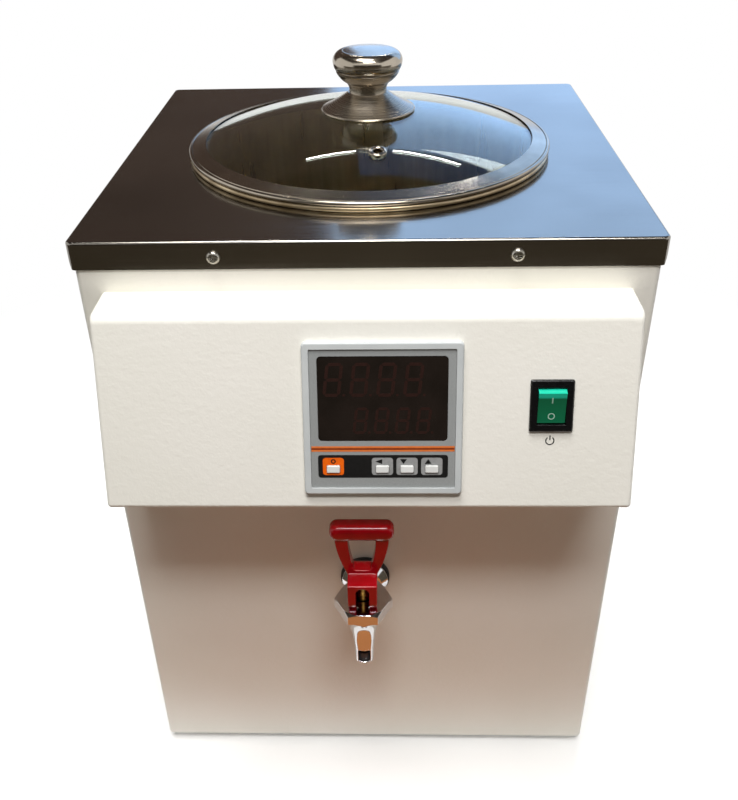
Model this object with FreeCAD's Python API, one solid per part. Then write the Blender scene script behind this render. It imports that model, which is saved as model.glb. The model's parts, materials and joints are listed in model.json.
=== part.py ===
"""Bench-top paraffin dispenser: a heated stock pot hung in a sheet-metal cabinet.

Every piece is drawn in millimetres with y = 0 on the cabinet's front face, +Y to the back and
z = 0 on the bench. The export moves them so that the origin is the bottom centre of the whole.
"""
import FreeCAD, Part
import math
import os

from FreeCAD import Placement, Rotation, Vector

# Clearances between pieces.
FIT = 0.1
RUNNING = 0.3
SHAFT_PLAY = 0.05

# Cabinet sheet metal.
SHEET = 1.2
CABINET_WIDTH = 355.0
CABINET_DEPTH = 346.8
CABINET_HEIGHT = 460.2
CABINET_BEND = 3.5
CABINET_LIP = 18.0
GROUND_GAP = 8.0
FOOT_RADIUS = 12.0
FOOT_INSET = 38.0
VENT_SLOT = 3.4
VENT_LENGTH = 62.0
VENT_PITCH = 10.0
VENT_ROWS = 9
VENT_COLUMN = 80.0

# Top pan.
PAN_SHEET = 1.0
PAN_SIDE_GAP = 2.0
PAN_FLANGE = 18.0
PAN_CORNER = 5.0
PAN_EDGE = 1.8
PAN_TUCK = 1.8
PAN_TUCK_HEIGHT = 12.0
PAN_SCREW_SPACING = 182.0
PAN_SCREW_DROP = 10.0
PAN_SCREW_HEAD = 2.7

# Stock pot, its heater and its insulation.
POT_RADIUS = 129.5
POT_WALL = 1.0
POT_FLOOR_Z = 174.0
POT_CORNER = 13.0
POT_PORT = 8.0
PROBE_RADIUS = 4.0
BEAD_REACH = 3.3
BEAD_HEIGHT = 3.6
HEATER_THICKNESS = 3.2
HEATER_HEIGHT = 80.0
HEATER_SPLIT = 14.0
INSULATION = 18.0
INSULATION_TOP_GAP = 12.0
BASE_INSULATION = 20.0

# Lid.
LID_ROLL = 3.3
LID_OVERHANG = 0.4
LID_BAND = 10.4
LID_BAND_RISE = 3.0
LID_SHEET = 0.8
LID_PLUG = 6.5
GLASS_THICKNESS = 4.0
GLASS_CROWN = 366.0
KNOB_BASE_RADIUS = 34.3
KNOB_BASE_HEIGHT = 11.5
KNOB_NECK = 14.4
KNOB_BODY_HEIGHT = 14.9
KNOB_RIDGE = 22.8
KNOB_CAP_RADIUS = 25.1
KNOB_CAP_HEIGHT = 15.1
KNOB_CROWN = 140.0
VENT_OFFSET = (7.3, -78.0)
VENT_HOLE = 3.2
VENT_FLANGE = 6.5

# Control box on the front, whose face leans back.
BOX_INSET = 14.5
BOX_BOTTOM_Z = 316.8
BOX_HEIGHT = 119.2
BOX_REACH = 65.2
FACE_LEAN = 16.05
BOX_TOP_BEND = 7.0
BOX_BEND = 2.5
BOX_LIP = 10.0
WIRING_CUT_WIDTH = 270.0
WIRING_CUT_HEIGHT = 84.0

# Panel controller, a square of the standard panel size.
CONTROLLER_X = 10.3
CONTROLLER_UP = 59.8
BEZEL = 96.0
BEZEL_FRAME = 4.2
BEZEL_PROUD = 4.0
CONTROLLER_CUT = 92.0
CONTROLLER_DEPTH = 42.0
FACEPLATE_RECESS = 1.0
FACEPLATE_THICKNESS = 1.6
WINDOW_WIDTH = 78.0
WINDOW_HEIGHT = 53.0
WINDOW_TOP_MARGIN = 8.5
KEY_WIDTH = 8.0
KEY_HEIGHT = 4.6
KEY_PROUD = 1.3
KEY_TRAVEL = 0.8
KEY_FLANGE = 1.7
KEY_UP = 16.6
KEY_PLACES = {"key_set": -30.2, "key_shift": -0.3, "key_down": 14.7, "key_up": 29.7}

# Rocker switch.
SWITCH_X = 111.1
SWITCH_UP = 67.6
SWITCH_WIDTH = 26.0
SWITCH_HEIGHT = 32.5
SWITCH_PROUD = 2.2
SWITCH_BODY_WIDTH = 21.0
SWITCH_BODY_HEIGHT = 28.0
SWITCH_BODY_DEPTH = 24.0
ROCKER_WIDTH = 16.6
ROCKER_RADIUS = 11.4
ROCKER_PIVOT_DEPTH = 3.0
ROCKER_RISE = 2.8
ROCKER_DISH = 0.9
ROCKER_TILT = 12.0
ROCKER_PIN = 1.5

# Tap.
TAP_X = -4.0
TAP_REACH = 50.0
SHANK_Z = 198.0
SHANK_RADIUS = 9.5
SHANK_BORE = 4.5
SHANK_TAIL = 30.0
TAP_FLANGE = 17.0
TAP_WASHER = 18.2
BODY_TOP_Z = 217.0
BODY_TOP_RADIUS = 16.8
SPOUT_RADIUS = 6.7
SPOUT_TIP_Z = 166.0
SPOUT_BORE = 4.8
SPOUT_NOTCH_HEIGHT = 13.5
SPOUT_NOTCH_WIDTH = 8.8
BONNET_HEIGHT = 8.6
BONNET_FLATS = 35.0
BONNET_SPIGOT = 11.0
SEAT_Z = 189.0
CHAMBER_RADIUS = 6.5
STEM_RADIUS = 3.9
SPRING_COIL = 5.3
SPRING_WIRE = 0.45
SPRING_TURNS = 5
SPRING_STEPS = 12
LEVER_WIDTH = 19.8
HEEL_RADIUS = 10.0
HEEL_OFFSET = 6.0
BLOCK_HEIGHT = 25.0
BLOCK_BACK = 13.0
LEVER_PLATE = 8.5
LOOP_BAR_WIDTH = 42.5
LOOP_BAR_HEIGHT = 12.0
LOOP_BAR_DEPTH = 12.5
LOOP_HEIGHT = 26.5
LOOP_TOP_HALF = 9.2
LOOP_BOTTOM_HALF = 5.8
LOOP_SILL = 3.6
ARM_OUTER_HALF = 18.0
LEVER_PIN = 1.5

# Rear panel fittings.
INLET_INSET = 59.5
INLET_Z = 66.0
INLET_FLANGE = 3.0
INLET_DEPTH = 26.0
INLET_SOCKET = (24.6, 17.0)
INLET_SOCKET_DEPTH = 21.0
INLET_PIN = 14.0
INLET_WALL = 1.8
INLET_SCREW_SINK = 1.8
FUSE_SPACING = 46.0
FUSE_RADIUS = 6.0

# Places worked out from the sizes above.
CABINET_TOP_Z = GROUND_GAP + CABINET_HEIGHT
PAN_TOP_Z = CABINET_TOP_Z + PAN_SHEET
REAR_Y = CABINET_DEPTH + SHEET
PAN_FRONT_Y = -PAN_SHEET
PAN_REAR_Y = REAR_Y + PAN_SHEET
PAN_WIDTH = CABINET_WIDTH + 2 * (PAN_SIDE_GAP + PAN_SHEET)
BOX_WIDTH = CABINET_WIDTH - 2 * BOX_INSET
INLET_X = INLET_INSET - CABINET_WIDTH / 2
FUSE_X = INLET_X + FUSE_SPACING
POT_Y = (PAN_FRONT_Y + PAN_REAR_Y) / 2
POT_INNER = POT_RADIUS - POT_WALL
HEATER_Z = SHANK_Z + 24.0
INSULATION_Z = HEATER_Z - 4.0
HEATER_RADIUS = POT_RADIUS + FIT + HEATER_THICKNESS
LID_SEAT_Z = PAN_TOP_Z + BEAD_HEIGHT + RUNNING
LID_RADIUS = POT_RADIUS + BEAD_REACH + LID_OVERHANG
TAP_Y = -TAP_REACH
BONNET_TOP_Z = BODY_TOP_Z + BONNET_HEIGHT
PIN_Z = BONNET_TOP_Z + RUNNING + HEEL_RADIUS
BLOCK_TOP_Z = BONNET_TOP_Z + RUNNING + BLOCK_HEIGHT
LOOP_BOTTOM_Z = BLOCK_TOP_Z + LOOP_SILL
LOOP_TOP_Z = LOOP_BOTTOM_Z + LOOP_HEIGHT
SPRING_BOTTOM_Z = SEAT_Z + 10.0
SPRING_TOP_Z = BONNET_TOP_Z - 3.6
FRONT_REACH = max(TAP_REACH + BONNET_FLATS / 2, BOX_REACH)
REAR_REACH = max(REAR_Y + INLET_FLANGE, PAN_REAR_Y + PAN_SCREW_HEAD)
TO_ORIGIN = Vector(0, (FRONT_REACH - REAR_REACH) / 2, 0)

X_AXIS = Vector(1, 0, 0)
Y_AXIS = Vector(0, 1, 0)
Z_AXIS = Vector(0, 0, 1)
PLANES = {
    "xy": lambda a, b: Vector(a, b, 0),
    "xz": lambda a, b: Vector(a, 0, b),
    "yz": lambda a, b: Vector(0, a, b),
}
FACE = Placement(Vector(0, -BOX_REACH, BOX_BOTTOM_Z), Rotation(X_AXIS, 90 - FACE_LEAN))


# Shapes that many pieces share.

def box(x0, x1, y0, y1, z0, z1):
    return Part.makeBox(x1 - x0, y1 - y0, z1 - z0, Vector(x0, y0, z0))


def rod(radius, start, end):
    return Part.makeCylinder(radius, (end - start).Length, start, end - start)


def tube(outer, inner, start, end):
    return rod(outer, start, end).cut(rod(inner, start, end))


def flat_face(plane, start, *steps):
    """A face in a plane. A step is the end of a line, or (middle, end) of an arc."""
    at = PLANES[plane]
    edges = []
    first = here = at(*start)
    for step in steps:
        if isinstance(step[0], tuple):
            middle, end = at(*step[0]), at(*step[1])
            edges.append(Part.Arc(here, middle, end).toShape())
        else:
            end = at(*step)
            edges.append(Part.LineSegment(here, end).toShape())
        here = end
    if here.distanceToPoint(first) > 1e-7:
        edges.append(Part.LineSegment(here, first).toShape())
    return Part.Face(Part.Wire(edges))


def turned(start, *steps):
    """A solid of revolution about Z, from its half section as (radius, z)."""
    return flat_face("xz", start, *steps).revolve(Vector(), Z_AXIS, 360)


def rounded_slab(width, height, radius, z0, z1, x=0.0, y=0.0):
    """A plate in the XY plane with rounded corners, centred on (x, y)."""
    w, h, c = width / 2, height / 2, radius * (1 - math.sqrt(0.5))
    outline = flat_face(
        "xy",
        (-w + radius, -h),
        (w - radius, -h), ((w - c, -h + c), (w, -h + radius)),
        (w, h - radius), ((w - c, h - c), (w - radius, h)),
        (-w + radius, h), ((-w + c, h - c), (-w, h - radius)),
        (-w, -h + radius), ((-w + c, -h + c), (-w + radius, -h)),
    )
    return outline.extrude(Vector(0, 0, z1 - z0)).translate(Vector(x, y, z0))


def fillet_where(shape, radius, wanted):
    return shape.makeFillet(radius, [e for e in shape.Edges if wanted(e.BoundBox)])


def chamfer_where(shape, size, wanted):
    return shape.makeChamfer(size, [e for e in shape.Edges if wanted(e.BoundBox)])


def near(a, b):
    return abs(a - b) < 1e-3


def placed(shape, point, outward=Z_AXIS):
    """A copy of a shape drawn along +Z, set on a point and turned to face outward."""
    copy = shape.copy()
    copy.Placement = Placement(point, Rotation(Z_AXIS, outward)).multiply(copy.Placement)
    return copy


def on_face(shape, x=0.0, up=0.0):
    """A copy of a shape drawn with +Z out of the leaning face and +Y up it, set at (x, up)."""
    copy = shape.copy()
    copy.Placement = FACE.multiply(Placement(Vector(x, up, 0), Rotation())).multiply(copy.Placement)
    return copy


def screw(head, head_height, shank, length, recess=True):
    """A pan-head screw along Z with its seat at z = 0, its shank below and a cross recess."""
    flat = head * 0.45
    shape = turned(
        (0, -length),
        (shank, -length),
        (shank, 0),
        (head, 0),
        (head, head_height * 0.3),
        ((head * 0.84, head_height * 0.8), (flat, head_height)),
        (0, head_height),
    )
    if recess:
        for width, depth in ((head * 1.1, head * 0.22), (head * 0.22, head * 1.1)):
            arm = box(-width / 2, width / 2, -depth / 2, depth / 2, head_height * 0.45, head_height + 1)
            shape = shape.cut(arm)
    return shape


def polar(radius, angle):
    return Vector(radius * math.cos(angle), radius * math.sin(angle), 0)


def hexagon(flats, z0, z1, corner_axis=X_AXIS):
    """A hexagonal prism along Z with a pair of corners on corner_axis."""
    radius = flats / math.sqrt(3)
    turn = math.atan2(corner_axis.y, corner_axis.x)
    points = [
        Vector(0, 0, z0) + polar(radius, turn + math.radians(60 * i))
        for i in range(7)
    ]
    return Part.Face(Part.makePolygon(points)).extrude(Vector(0, 0, z1 - z0))


# Cabinet.

PAN_SCREW = screw(4.2, PAN_SCREW_HEAD, 2.0, 8.0)
PANEL_SCREW = screw(3.4, 2.2, 1.5, 6.0)
PANEL_SCREW_HOLE = 1.5 + FIT
PAN_SCREW_HOLE = 2.0 + FIT


def pan_screw_places():
    z = PAN_TOP_Z - PAN_SCREW_DROP
    for side in (-1, 1):
        x = side * PAN_SCREW_SPACING / 2
        yield Vector(x, PAN_FRONT_Y, z), -Y_AXIS
        yield Vector(x, PAN_REAR_Y, z), Y_AXIS


def box_screw_places():
    for side in (-1, 1):
        for z in (BOX_BOTTOM_Z + BOX_LIP / 2, BOX_BOTTOM_Z + BOX_HEIGHT - BOX_LIP / 2):
            yield Vector(side * (BOX_WIDTH - BOX_LIP) / 2, SHEET, z), Y_AXIS


def rear_screw_places():
    x = CABINET_WIDTH / 2 - CABINET_LIP / 2
    low, high = GROUND_GAP + 34.0, CABINET_TOP_Z - 44.0
    for side in (-1, 1):
        for z in (low, (low + high) / 2, high):
            yield Vector(side * x, REAR_Y, z), Y_AXIS


def foot_places():
    for sx in (-1, 1):
        for y in (FOOT_INSET, CABINET_DEPTH - FOOT_INSET):
            yield Vector(sx * (CABINET_WIDTH / 2 - FOOT_INSET), y, GROUND_GAP + SHEET)


def base_screw_places():
    x = CABINET_WIDTH / 2 - CABINET_LIP / 2
    for sx in (-1, 1):
        for y in (CABINET_DEPTH * 0.25, CABINET_DEPTH * 0.75):
            yield Vector(sx * x, y, GROUND_GAP), -Z_AXIS


def bore_all(shape, places, radius, depth):
    """Cuts one round hole at each place, depth to both sides of it along its direction."""
    for point, outward in places:
        shape = shape.cut(rod(radius, point - outward * depth, point + outward * depth))
    return shape


def bent_box(inset):
    """The cabinet's outside, or its inside when inset by the sheet."""
    w, bend = CABINET_WIDTH / 2 - inset, CABINET_BEND - inset
    low = GROUND_GAP + inset
    shape = box(-w, w, inset, CABINET_DEPTH - inset, low, CABINET_TOP_Z - inset)

    def bent(b):
        upright = near(b.XLength, 0) and near(b.YMin, inset) and near(b.YMax, inset)
        level = near(b.ZMax, low) or near(b.ZMin, CABINET_TOP_Z - inset)
        at_rear = near(b.YMin, b.YMax) and b.YMin > inset
        return upright or (level and not at_rear)

    return fillet_where(shape, bend, bent)


def cabinet_shell():
    """Front and sides bent from one sheet, with lips round the bottom, back and top."""
    inner_x = CABINET_WIDTH / 2 - CABINET_LIP
    shell = bent_box(0).cut(bent_box(SHEET))
    lip_y = CABINET_DEPTH - CABINET_LIP
    shell = shell.cut(box(-inner_x, inner_x, CABINET_LIP, lip_y, 0, GROUND_GAP + 2 * SHEET))
    low, high = CABINET_TOP_Z - 2 * SHEET, CABINET_TOP_Z + 1
    shell = shell.cut(box(-inner_x, inner_x, CABINET_LIP, lip_y, low, high))
    back = box(-inner_x, inner_x, CABINET_DEPTH - 2 * SHEET, CABINET_DEPTH + 1,
               GROUND_GAP + CABINET_LIP, CABINET_TOP_Z - CABINET_LIP)
    shell = shell.cut(back)
    cut_z = BOX_BOTTOM_Z + BOX_HEIGHT / 2
    wiring = rounded_slab(WIRING_CUT_WIDTH, WIRING_CUT_HEIGHT, 6, -SHEET, 3 * SHEET)
    shell = shell.cut(placed(wiring, Vector(0, 0, cut_z), Y_AXIS))
    shell = shell.cut(rod(SHANK_RADIUS + 0.5, Vector(TAP_X, -1, SHANK_Z), Vector(TAP_X, 5, SHANK_Z)))
    shell = bore_all(shell, pan_screw_places(), PAN_SCREW_HOLE, 4)
    shell = bore_all(shell, box_screw_places(), PANEL_SCREW_HOLE, 3)
    shell = bore_all(shell, rear_screw_places(), PANEL_SCREW_HOLE, 4)
    return bore_all(shell, base_screw_places(), PANEL_SCREW_HOLE, 3)


def vent_slots(centre, along, across, through, rows):
    """A ladder of round-ended slots, as one shape to cut."""
    slots = []
    for i in range(rows):
        middle = centre + across * (VENT_PITCH * (i - (rows - 1) / 2))
        ends = [middle + along * (s * (VENT_LENGTH - VENT_SLOT) / 2) for s in (-1, 1)]
        bar = rod(VENT_SLOT / 2, ends[0] - through * 3, ends[0] + through * 3)
        bar = bar.fuse(rod(VENT_SLOT / 2, ends[1] - through * 3, ends[1] + through * 3))
        low = ends[0] - across * (VENT_SLOT / 2) - through * 3
        high = ends[1] + across * (VENT_SLOT / 2) + through * 3
        slots.append(bar.fuse(box(low.x, high.x, low.y, high.y, low.z, high.z)))
    return Part.makeCompound(slots)


def base_plate():
    w, d = CABINET_WIDTH / 2 - CABINET_BEND, CABINET_DEPTH - CABINET_BEND
    z = GROUND_GAP + SHEET
    plate = box(-w, w, CABINET_BEND, d, z, z + SHEET)
    for side in (-1, 1):
        centre = Vector(side * 55, CABINET_DEPTH / 2, z)
        plate = plate.cut(vent_slots(centre, X_AXIS, Y_AXIS, Z_AXIS, VENT_ROWS))
    plate = bore_all(plate, ((p, Z_AXIS) for p in foot_places()), 2.0 + FIT, 3)
    return bore_all(plate, base_screw_places(), PANEL_SCREW_HOLE, 4)


def rear_panel():
    w = CABINET_WIDTH / 2 - CABINET_BEND
    panel = box(-w, w, CABINET_DEPTH, REAR_Y, GROUND_GAP + 1.0, CABINET_TOP_Z - 2.0)
    for column in (-1, 0, 1):
        centre = Vector(column * VENT_COLUMN, CABINET_DEPTH, CABINET_TOP_Z - 110)
        panel = panel.cut(vent_slots(centre, X_AXIS, Z_AXIS, Y_AXIS, VENT_ROWS))
    for column in (0.25, 1.25):
        centre = Vector(column * VENT_COLUMN, CABINET_DEPTH, INLET_Z + 20)
        panel = panel.cut(vent_slots(centre, X_AXIS, Z_AXIS, Y_AXIS, VENT_ROWS))
    near_y, far_y = CABINET_DEPTH - 2, REAR_Y + 2
    width, height = (size + 2 * INLET_WALL + FIT for size in INLET_SOCKET)
    panel = panel.cut(inlet_prism(width, height, near_y, far_y))
    panel = panel.cut(rod(FUSE_RADIUS + FIT, Vector(FUSE_X, near_y, INLET_Z), Vector(FUSE_X, far_y, INLET_Z)))
    panel = bore_all(panel, inlet_screw_places(), PANEL_SCREW_HOLE, 6)
    panel = bore_all(panel, pan_screw_places(), PAN_SCREW_HOLE, 6)
    return bore_all(panel, rear_screw_places(), PANEL_SCREW_HOLE, 3)


def rubber_foot():
    h = GROUND_GAP + SHEET
    return turned(
        (2.6, 2.4), (6.0, 2.4), (6.0, 0), (FOOT_RADIUS - 2.6, 0),
        ((FOOT_RADIUS - 1.5, 0.5), (FOOT_RADIUS - 1.0, 1.6)),
        (FOOT_RADIUS, h), (2.6, h),
    )


def rubber_feet():
    return [placed(rubber_foot(), Vector(p.x, p.y, 0)) for p in foot_places()]


def foot_screws():
    """Each head sits in its foot's recess, and the shank goes up through the base plate."""
    fixing = screw(4.4, 1.8, 2.0, 13.0, recess=False)
    return [placed(fixing, Vector(p.x, p.y, 2.4), -Z_AXIS) for p in foot_places()]


# Top pan.

def pan_block(inset):
    """The pan's outside, or its inside when inset: bent edges, and sides tucked in below."""
    w, top = PAN_WIDTH / 2 - inset, PAN_TOP_Z - inset
    y0, y1 = PAN_FRONT_Y + inset, PAN_REAR_Y - inset
    tuck_z, low_z = PAN_TOP_Z - PAN_FLANGE + PAN_TUCK_HEIGHT, PAN_TOP_Z - PAN_FLANGE
    low_w, bottom = w - PAN_TUCK, low_z - 5
    middle = (w - PAN_TUCK * 0.28, (tuck_z + low_z) / 2)
    block = rounded_slab(2 * w, y1 - y0, PAN_CORNER - inset, bottom, top, y=(y0 + y1) / 2)
    block = fillet_where(block, PAN_EDGE - inset * 0.8, lambda b: near(b.ZMin, top))
    tuck = flat_face(
        "xz",
        (-low_w, bottom - 1), (low_w, bottom - 1), (low_w, low_z), (middle, (w, tuck_z)),
        (w + 1, tuck_z), (w + 1, top + 1), (-w - 1, top + 1), (-w - 1, tuck_z),
        (-w, tuck_z), ((-middle[0], middle[1]), (-low_w, low_z)),
    ).extrude(Vector(0, y1 - y0 + 2, 0)).translate(Vector(0, y0 - 1, 0))
    return block.common(tuck)


def top_pan():
    low_z = PAN_TOP_Z - PAN_FLANGE
    pan = pan_block(0).cut(pan_block(PAN_SHEET))
    pan = pan.cut(box(-PAN_WIDTH, PAN_WIDTH, PAN_FRONT_Y - 1, PAN_REAR_Y + 1, low_z - 6, low_z))
    pan = pan.cut(rod(POT_RADIUS + 0.6, Vector(0, POT_Y, low_z - 1), Vector(0, POT_Y, PAN_TOP_Z + 1)))
    return bore_all(pan, pan_screw_places(), PAN_SCREW_HOLE, 4)


# Control box and what is set in its face.

def box_block(inset):
    """The control box's outside, or its inside when inset by the sheet."""
    lean = math.tan(math.radians(FACE_LEAN))
    shift = inset / math.cos(math.radians(FACE_LEAN)) - BOX_REACH
    low, high = BOX_BOTTOM_Z + inset, BOX_BOTTOM_Z + BOX_HEIGHT - inset
    w = BOX_WIDTH / 2 - inset
    block = flat_face(
        "yz",
        (-inset, low),
        (shift + inset * lean, low),
        (shift + (BOX_HEIGHT - inset) * lean, high),
        (-inset, high),
    ).extrude(Vector(2 * w, 0, 0)).translate(Vector(-w, 0, 0))
    across = [e for e in block.Edges if e.BoundBox.XLength > w and e.BoundBox.YMax < -2 * SHEET - 1]
    top_edge = [e for e in across if near(e.BoundBox.ZMin, high)]
    low_edge = [e for e in across if near(e.BoundBox.ZMin, low)]
    block = block.makeFillet(BOX_TOP_BEND - inset, top_edge)
    bounds = [(edge, edge.BoundBox) for edge in block.Edges]
    low_edge = [e for e, b in bounds if b.XLength > w and near(b.ZMax, low) and b.YMax < -2 * SHEET - 1]
    block = block.makeFillet(BOX_BEND - inset, low_edge)
    ends = [
        e for e in block.Edges
        if near(e.BoundBox.XLength, 0) and e.BoundBox.YMin < -inset - 1e-3
    ]
    return block.makeFillet(BOX_BEND - inset, ends)


def control_box():
    shell = box_block(0).cut(box_block(SHEET))
    w = BOX_WIDTH / 2 - BOX_LIP
    low, high = BOX_BOTTOM_Z + BOX_LIP, BOX_BOTTOM_Z + BOX_HEIGHT - BOX_LIP
    shell = shell.cut(box(-w, w, -2 * SHEET, 1, low, high))
    cut = rounded_slab(CONTROLLER_CUT, CONTROLLER_CUT, 1.0, -5, 5)
    shell = shell.cut(on_face(cut, CONTROLLER_X, CONTROLLER_UP))
    cut = rounded_slab(SWITCH_BODY_WIDTH + 2 * FIT, SWITCH_BODY_HEIGHT + 2 * FIT, 0.5, -5, 5)
    shell = shell.cut(on_face(cut, SWITCH_X, SWITCH_UP))
    return bore_all(shell, box_screw_places(), 1.5 + FIT, 4)


def in_controller(shape):
    return on_face(shape, CONTROLLER_X, CONTROLLER_UP)


PLATE_FRONT = BEZEL_PROUD - FACEPLATE_RECESS
PLATE_BACK = PLATE_FRONT - FACEPLATE_THICKNESS
PLATE_SIZE = BEZEL - 2 * BEZEL_FRAME - 2 * FIT
WINDOW_Y = BEZEL / 2 - WINDOW_TOP_MARGIN - WINDOW_HEIGHT / 2
KEY_Y = KEY_UP - BEZEL / 2
PCB_FRONT = -7.0
CASE_SIZE = CONTROLLER_CUT - 1.0


def controller_bezel():
    frame = rounded_slab(BEZEL, BEZEL, 2.5, 0, BEZEL_PROUD)
    frame = fillet_where(frame, 1.2, lambda b: near(b.ZMin, BEZEL_PROUD))
    inner = BEZEL - 2 * BEZEL_FRAME
    frame = frame.cut(rounded_slab(inner, inner, 0.8, PLATE_BACK, BEZEL_PROUD + 1))
    return frame.cut(rounded_slab(inner - 5, inner - 5, 0.8, -1, BEZEL_PROUD))


def controller_case():
    """The body behind the panel, open at the front, with ribs to grip the clamps."""
    case = rounded_slab(CASE_SIZE, CASE_SIZE, 1.0, -CONTROLLER_DEPTH, 0)
    hollow = CASE_SIZE - 4.0
    case = case.cut(rounded_slab(hollow, hollow, 1.0, 2.0 - CONTROLLER_DEPTH, 1))
    groove = 0.6
    for side in (-1, 1):
        x0, x1 = sorted((side * (CASE_SIZE / 2 - groove), side * (CASE_SIZE / 2 + 1)))
        for i in range(4):
            z = -14.0 - 6.0 * i
            case = case.cut(box(x0, x1, -9, 9, z - 2, z))
    return case


def controller_faceplate():
    plate = rounded_slab(PLATE_SIZE, PLATE_SIZE, 0.6, PLATE_BACK, PLATE_FRONT)
    plate = plate.cut(rounded_slab(WINDOW_WIDTH, WINDOW_HEIGHT, 2.5, -1, BEZEL_PROUD, y=WINDOW_Y))
    for x in KEY_PLACES.values():
        hole = rounded_slab(KEY_WIDTH + 2 * RUNNING, KEY_HEIGHT + 2 * RUNNING, 0.9, -1, BEZEL_PROUD, x, KEY_Y)
        plate = plate.cut(hole)
    return plate


def controller_window():
    gap = 2 * FIT
    front = PLATE_FRONT - 0.2
    return rounded_slab(WINDOW_WIDTH - gap, WINDOW_HEIGHT - gap, 2.4, PLATE_BACK, front, y=WINDOW_Y)


def display_board():
    size = CASE_SIZE - 4.0 - 2 * FIT
    return rounded_slab(size, size, 1.0, PCB_FRONT - 1.6, PCB_FRONT)


def digit_modules():
    """Two four-digit display blocks behind the window."""
    top = PLATE_BACK - 0.4
    upper = rounded_slab(66, 27, 0.5, PCB_FRONT, top, -2.0, WINDOW_Y + 11.8)
    lower = rounded_slab(52, 22, 0.5, PCB_FRONT, top, 6.0, WINDOW_Y - 13.4)
    return [upper, lower]


def key_switches():
    """A tactile switch on the board under each key, with its round plunger."""
    made = []
    for x in KEY_PLACES.values():
        body = rounded_slab(6.0, 6.0, 0.3, PCB_FRONT, PCB_FRONT + 3.6, x, KEY_Y)
        centre = Vector(x, KEY_Y, PCB_FRONT + 3.6)
        made.append(body.fuse(rod(1.7, centre, centre + Z_AXIS * 0.7)).removeSplitter())
    return made


def controller_key(x):
    """A rectangular cap with a flange inside the faceplate that stops it falling out."""
    top = PLATE_FRONT + KEY_PROUD
    cap = rounded_slab(KEY_WIDTH, KEY_HEIGHT, 0.7, PLATE_BACK - 1.6, top, x, KEY_Y)
    cap = fillet_where(cap, 0.45, lambda b: near(b.ZMin, top))
    back, front = PLATE_BACK - KEY_FLANGE - RUNNING, PLATE_BACK - RUNNING
    flange = rounded_slab(KEY_WIDTH + 2.0, KEY_HEIGHT + 2.0, 0.7, back, front, x, KEY_Y)
    stub_low = PCB_FRONT + 4.3 + KEY_TRAVEL + RUNNING / 2
    stub = rod(1.5, Vector(x, KEY_Y, stub_low), Vector(x, KEY_Y, PLATE_BACK - 1.0))
    return cap.fuse(flange).fuse(stub).removeSplitter()


def controller_clamps():
    """A screw bracket at each side of the case that pulls the bezel onto the panel."""
    made = []
    for side in (-1, 1):
        x0, x1 = sorted((side * (CASE_SIZE / 2 + FIT), side * (CASE_SIZE / 2 + 8.0)))
        bracket = box(x0, x1, -8, 8, -34, -24)
        middle = side * (CASE_SIZE / 2 + 4.2)
        bracket = bracket.fuse(rod(1.5, Vector(middle, 0, -SHEET), Vector(middle, 0, -30)))
        made.append(bracket.fuse(rod(3.0, Vector(middle, 0, -34), Vector(middle, 0, -37))).removeSplitter())
    return made


def switch_housing():
    """A snap-in body with a raised bezel and the well that the rocker turns in."""
    bezel = rounded_slab(SWITCH_WIDTH, SWITCH_HEIGHT, 1.2, 0, SWITCH_PROUD)
    bezel = chamfer_where(bezel, 0.8, lambda b: near(b.ZMin, SWITCH_PROUD))
    body = rounded_slab(SWITCH_BODY_WIDTH, SWITCH_BODY_HEIGHT, 0.5, -SWITCH_BODY_DEPTH, 0)
    well_height = 2 * (ROCKER_RADIUS + RUNNING)
    well_half = ROCKER_WIDTH / 2 + RUNNING
    well = box(-well_half, well_half, -well_height / 2, well_height / 2, -13, 5)
    housing = bezel.fuse(body).cut(well).removeSplitter()
    left, right = (Vector(x, 0, -ROCKER_PIVOT_DEPTH) for x in (-9.6, 9.6))
    pin = rod(ROCKER_PIN + SHAFT_PLAY, left, right)
    return housing.cut(pin)


def switch_rocker():
    """A dished rocker with stub axles, its off end pressed in."""
    w, r, rise = ROCKER_WIDTH / 2, ROCKER_RADIUS, ROCKER_RISE
    pivot = Vector(0, 0, -ROCKER_PIVOT_DEPTH)
    drum = rod(r, pivot - X_AXIS * w, pivot + X_AXIS * w)
    section = flat_face(
        "yz", (-r - 1, -8.5), (r + 1, -8.5), (r + 1, rise), ((0, rise - ROCKER_DISH), (-r - 1, rise))
    )
    rocker = drum.common(section.extrude(X_AXIS * (2 * w)).translate(-X_AXIS * w))
    rocker = rocker.fuse(rod(ROCKER_PIN, pivot - X_AXIS * (w + 0.9), pivot + X_AXIS * (w + 0.9)))
    rocker = rocker.removeSplitter()
    rocker.rotate(pivot, X_AXIS, ROCKER_TILT)
    return rocker


def switch_terminals():
    blade = box(-2.4, 2.4, -0.4, 0.4, -SWITCH_BODY_DEPTH - 9, -SWITCH_BODY_DEPTH)
    return [blade.translated(Vector(x, y, 0)) for x in (-5.5, 5.5) for y in (-9, 0, 9)]


# Stock pot.

def at_pot(shape):
    return shape.translate(Vector(0, POT_Y, 0))


def pot_drum(radius, z0, z1):
    return rod(radius, Vector(0, POT_Y, z0), Vector(0, POT_Y, z1))


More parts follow.
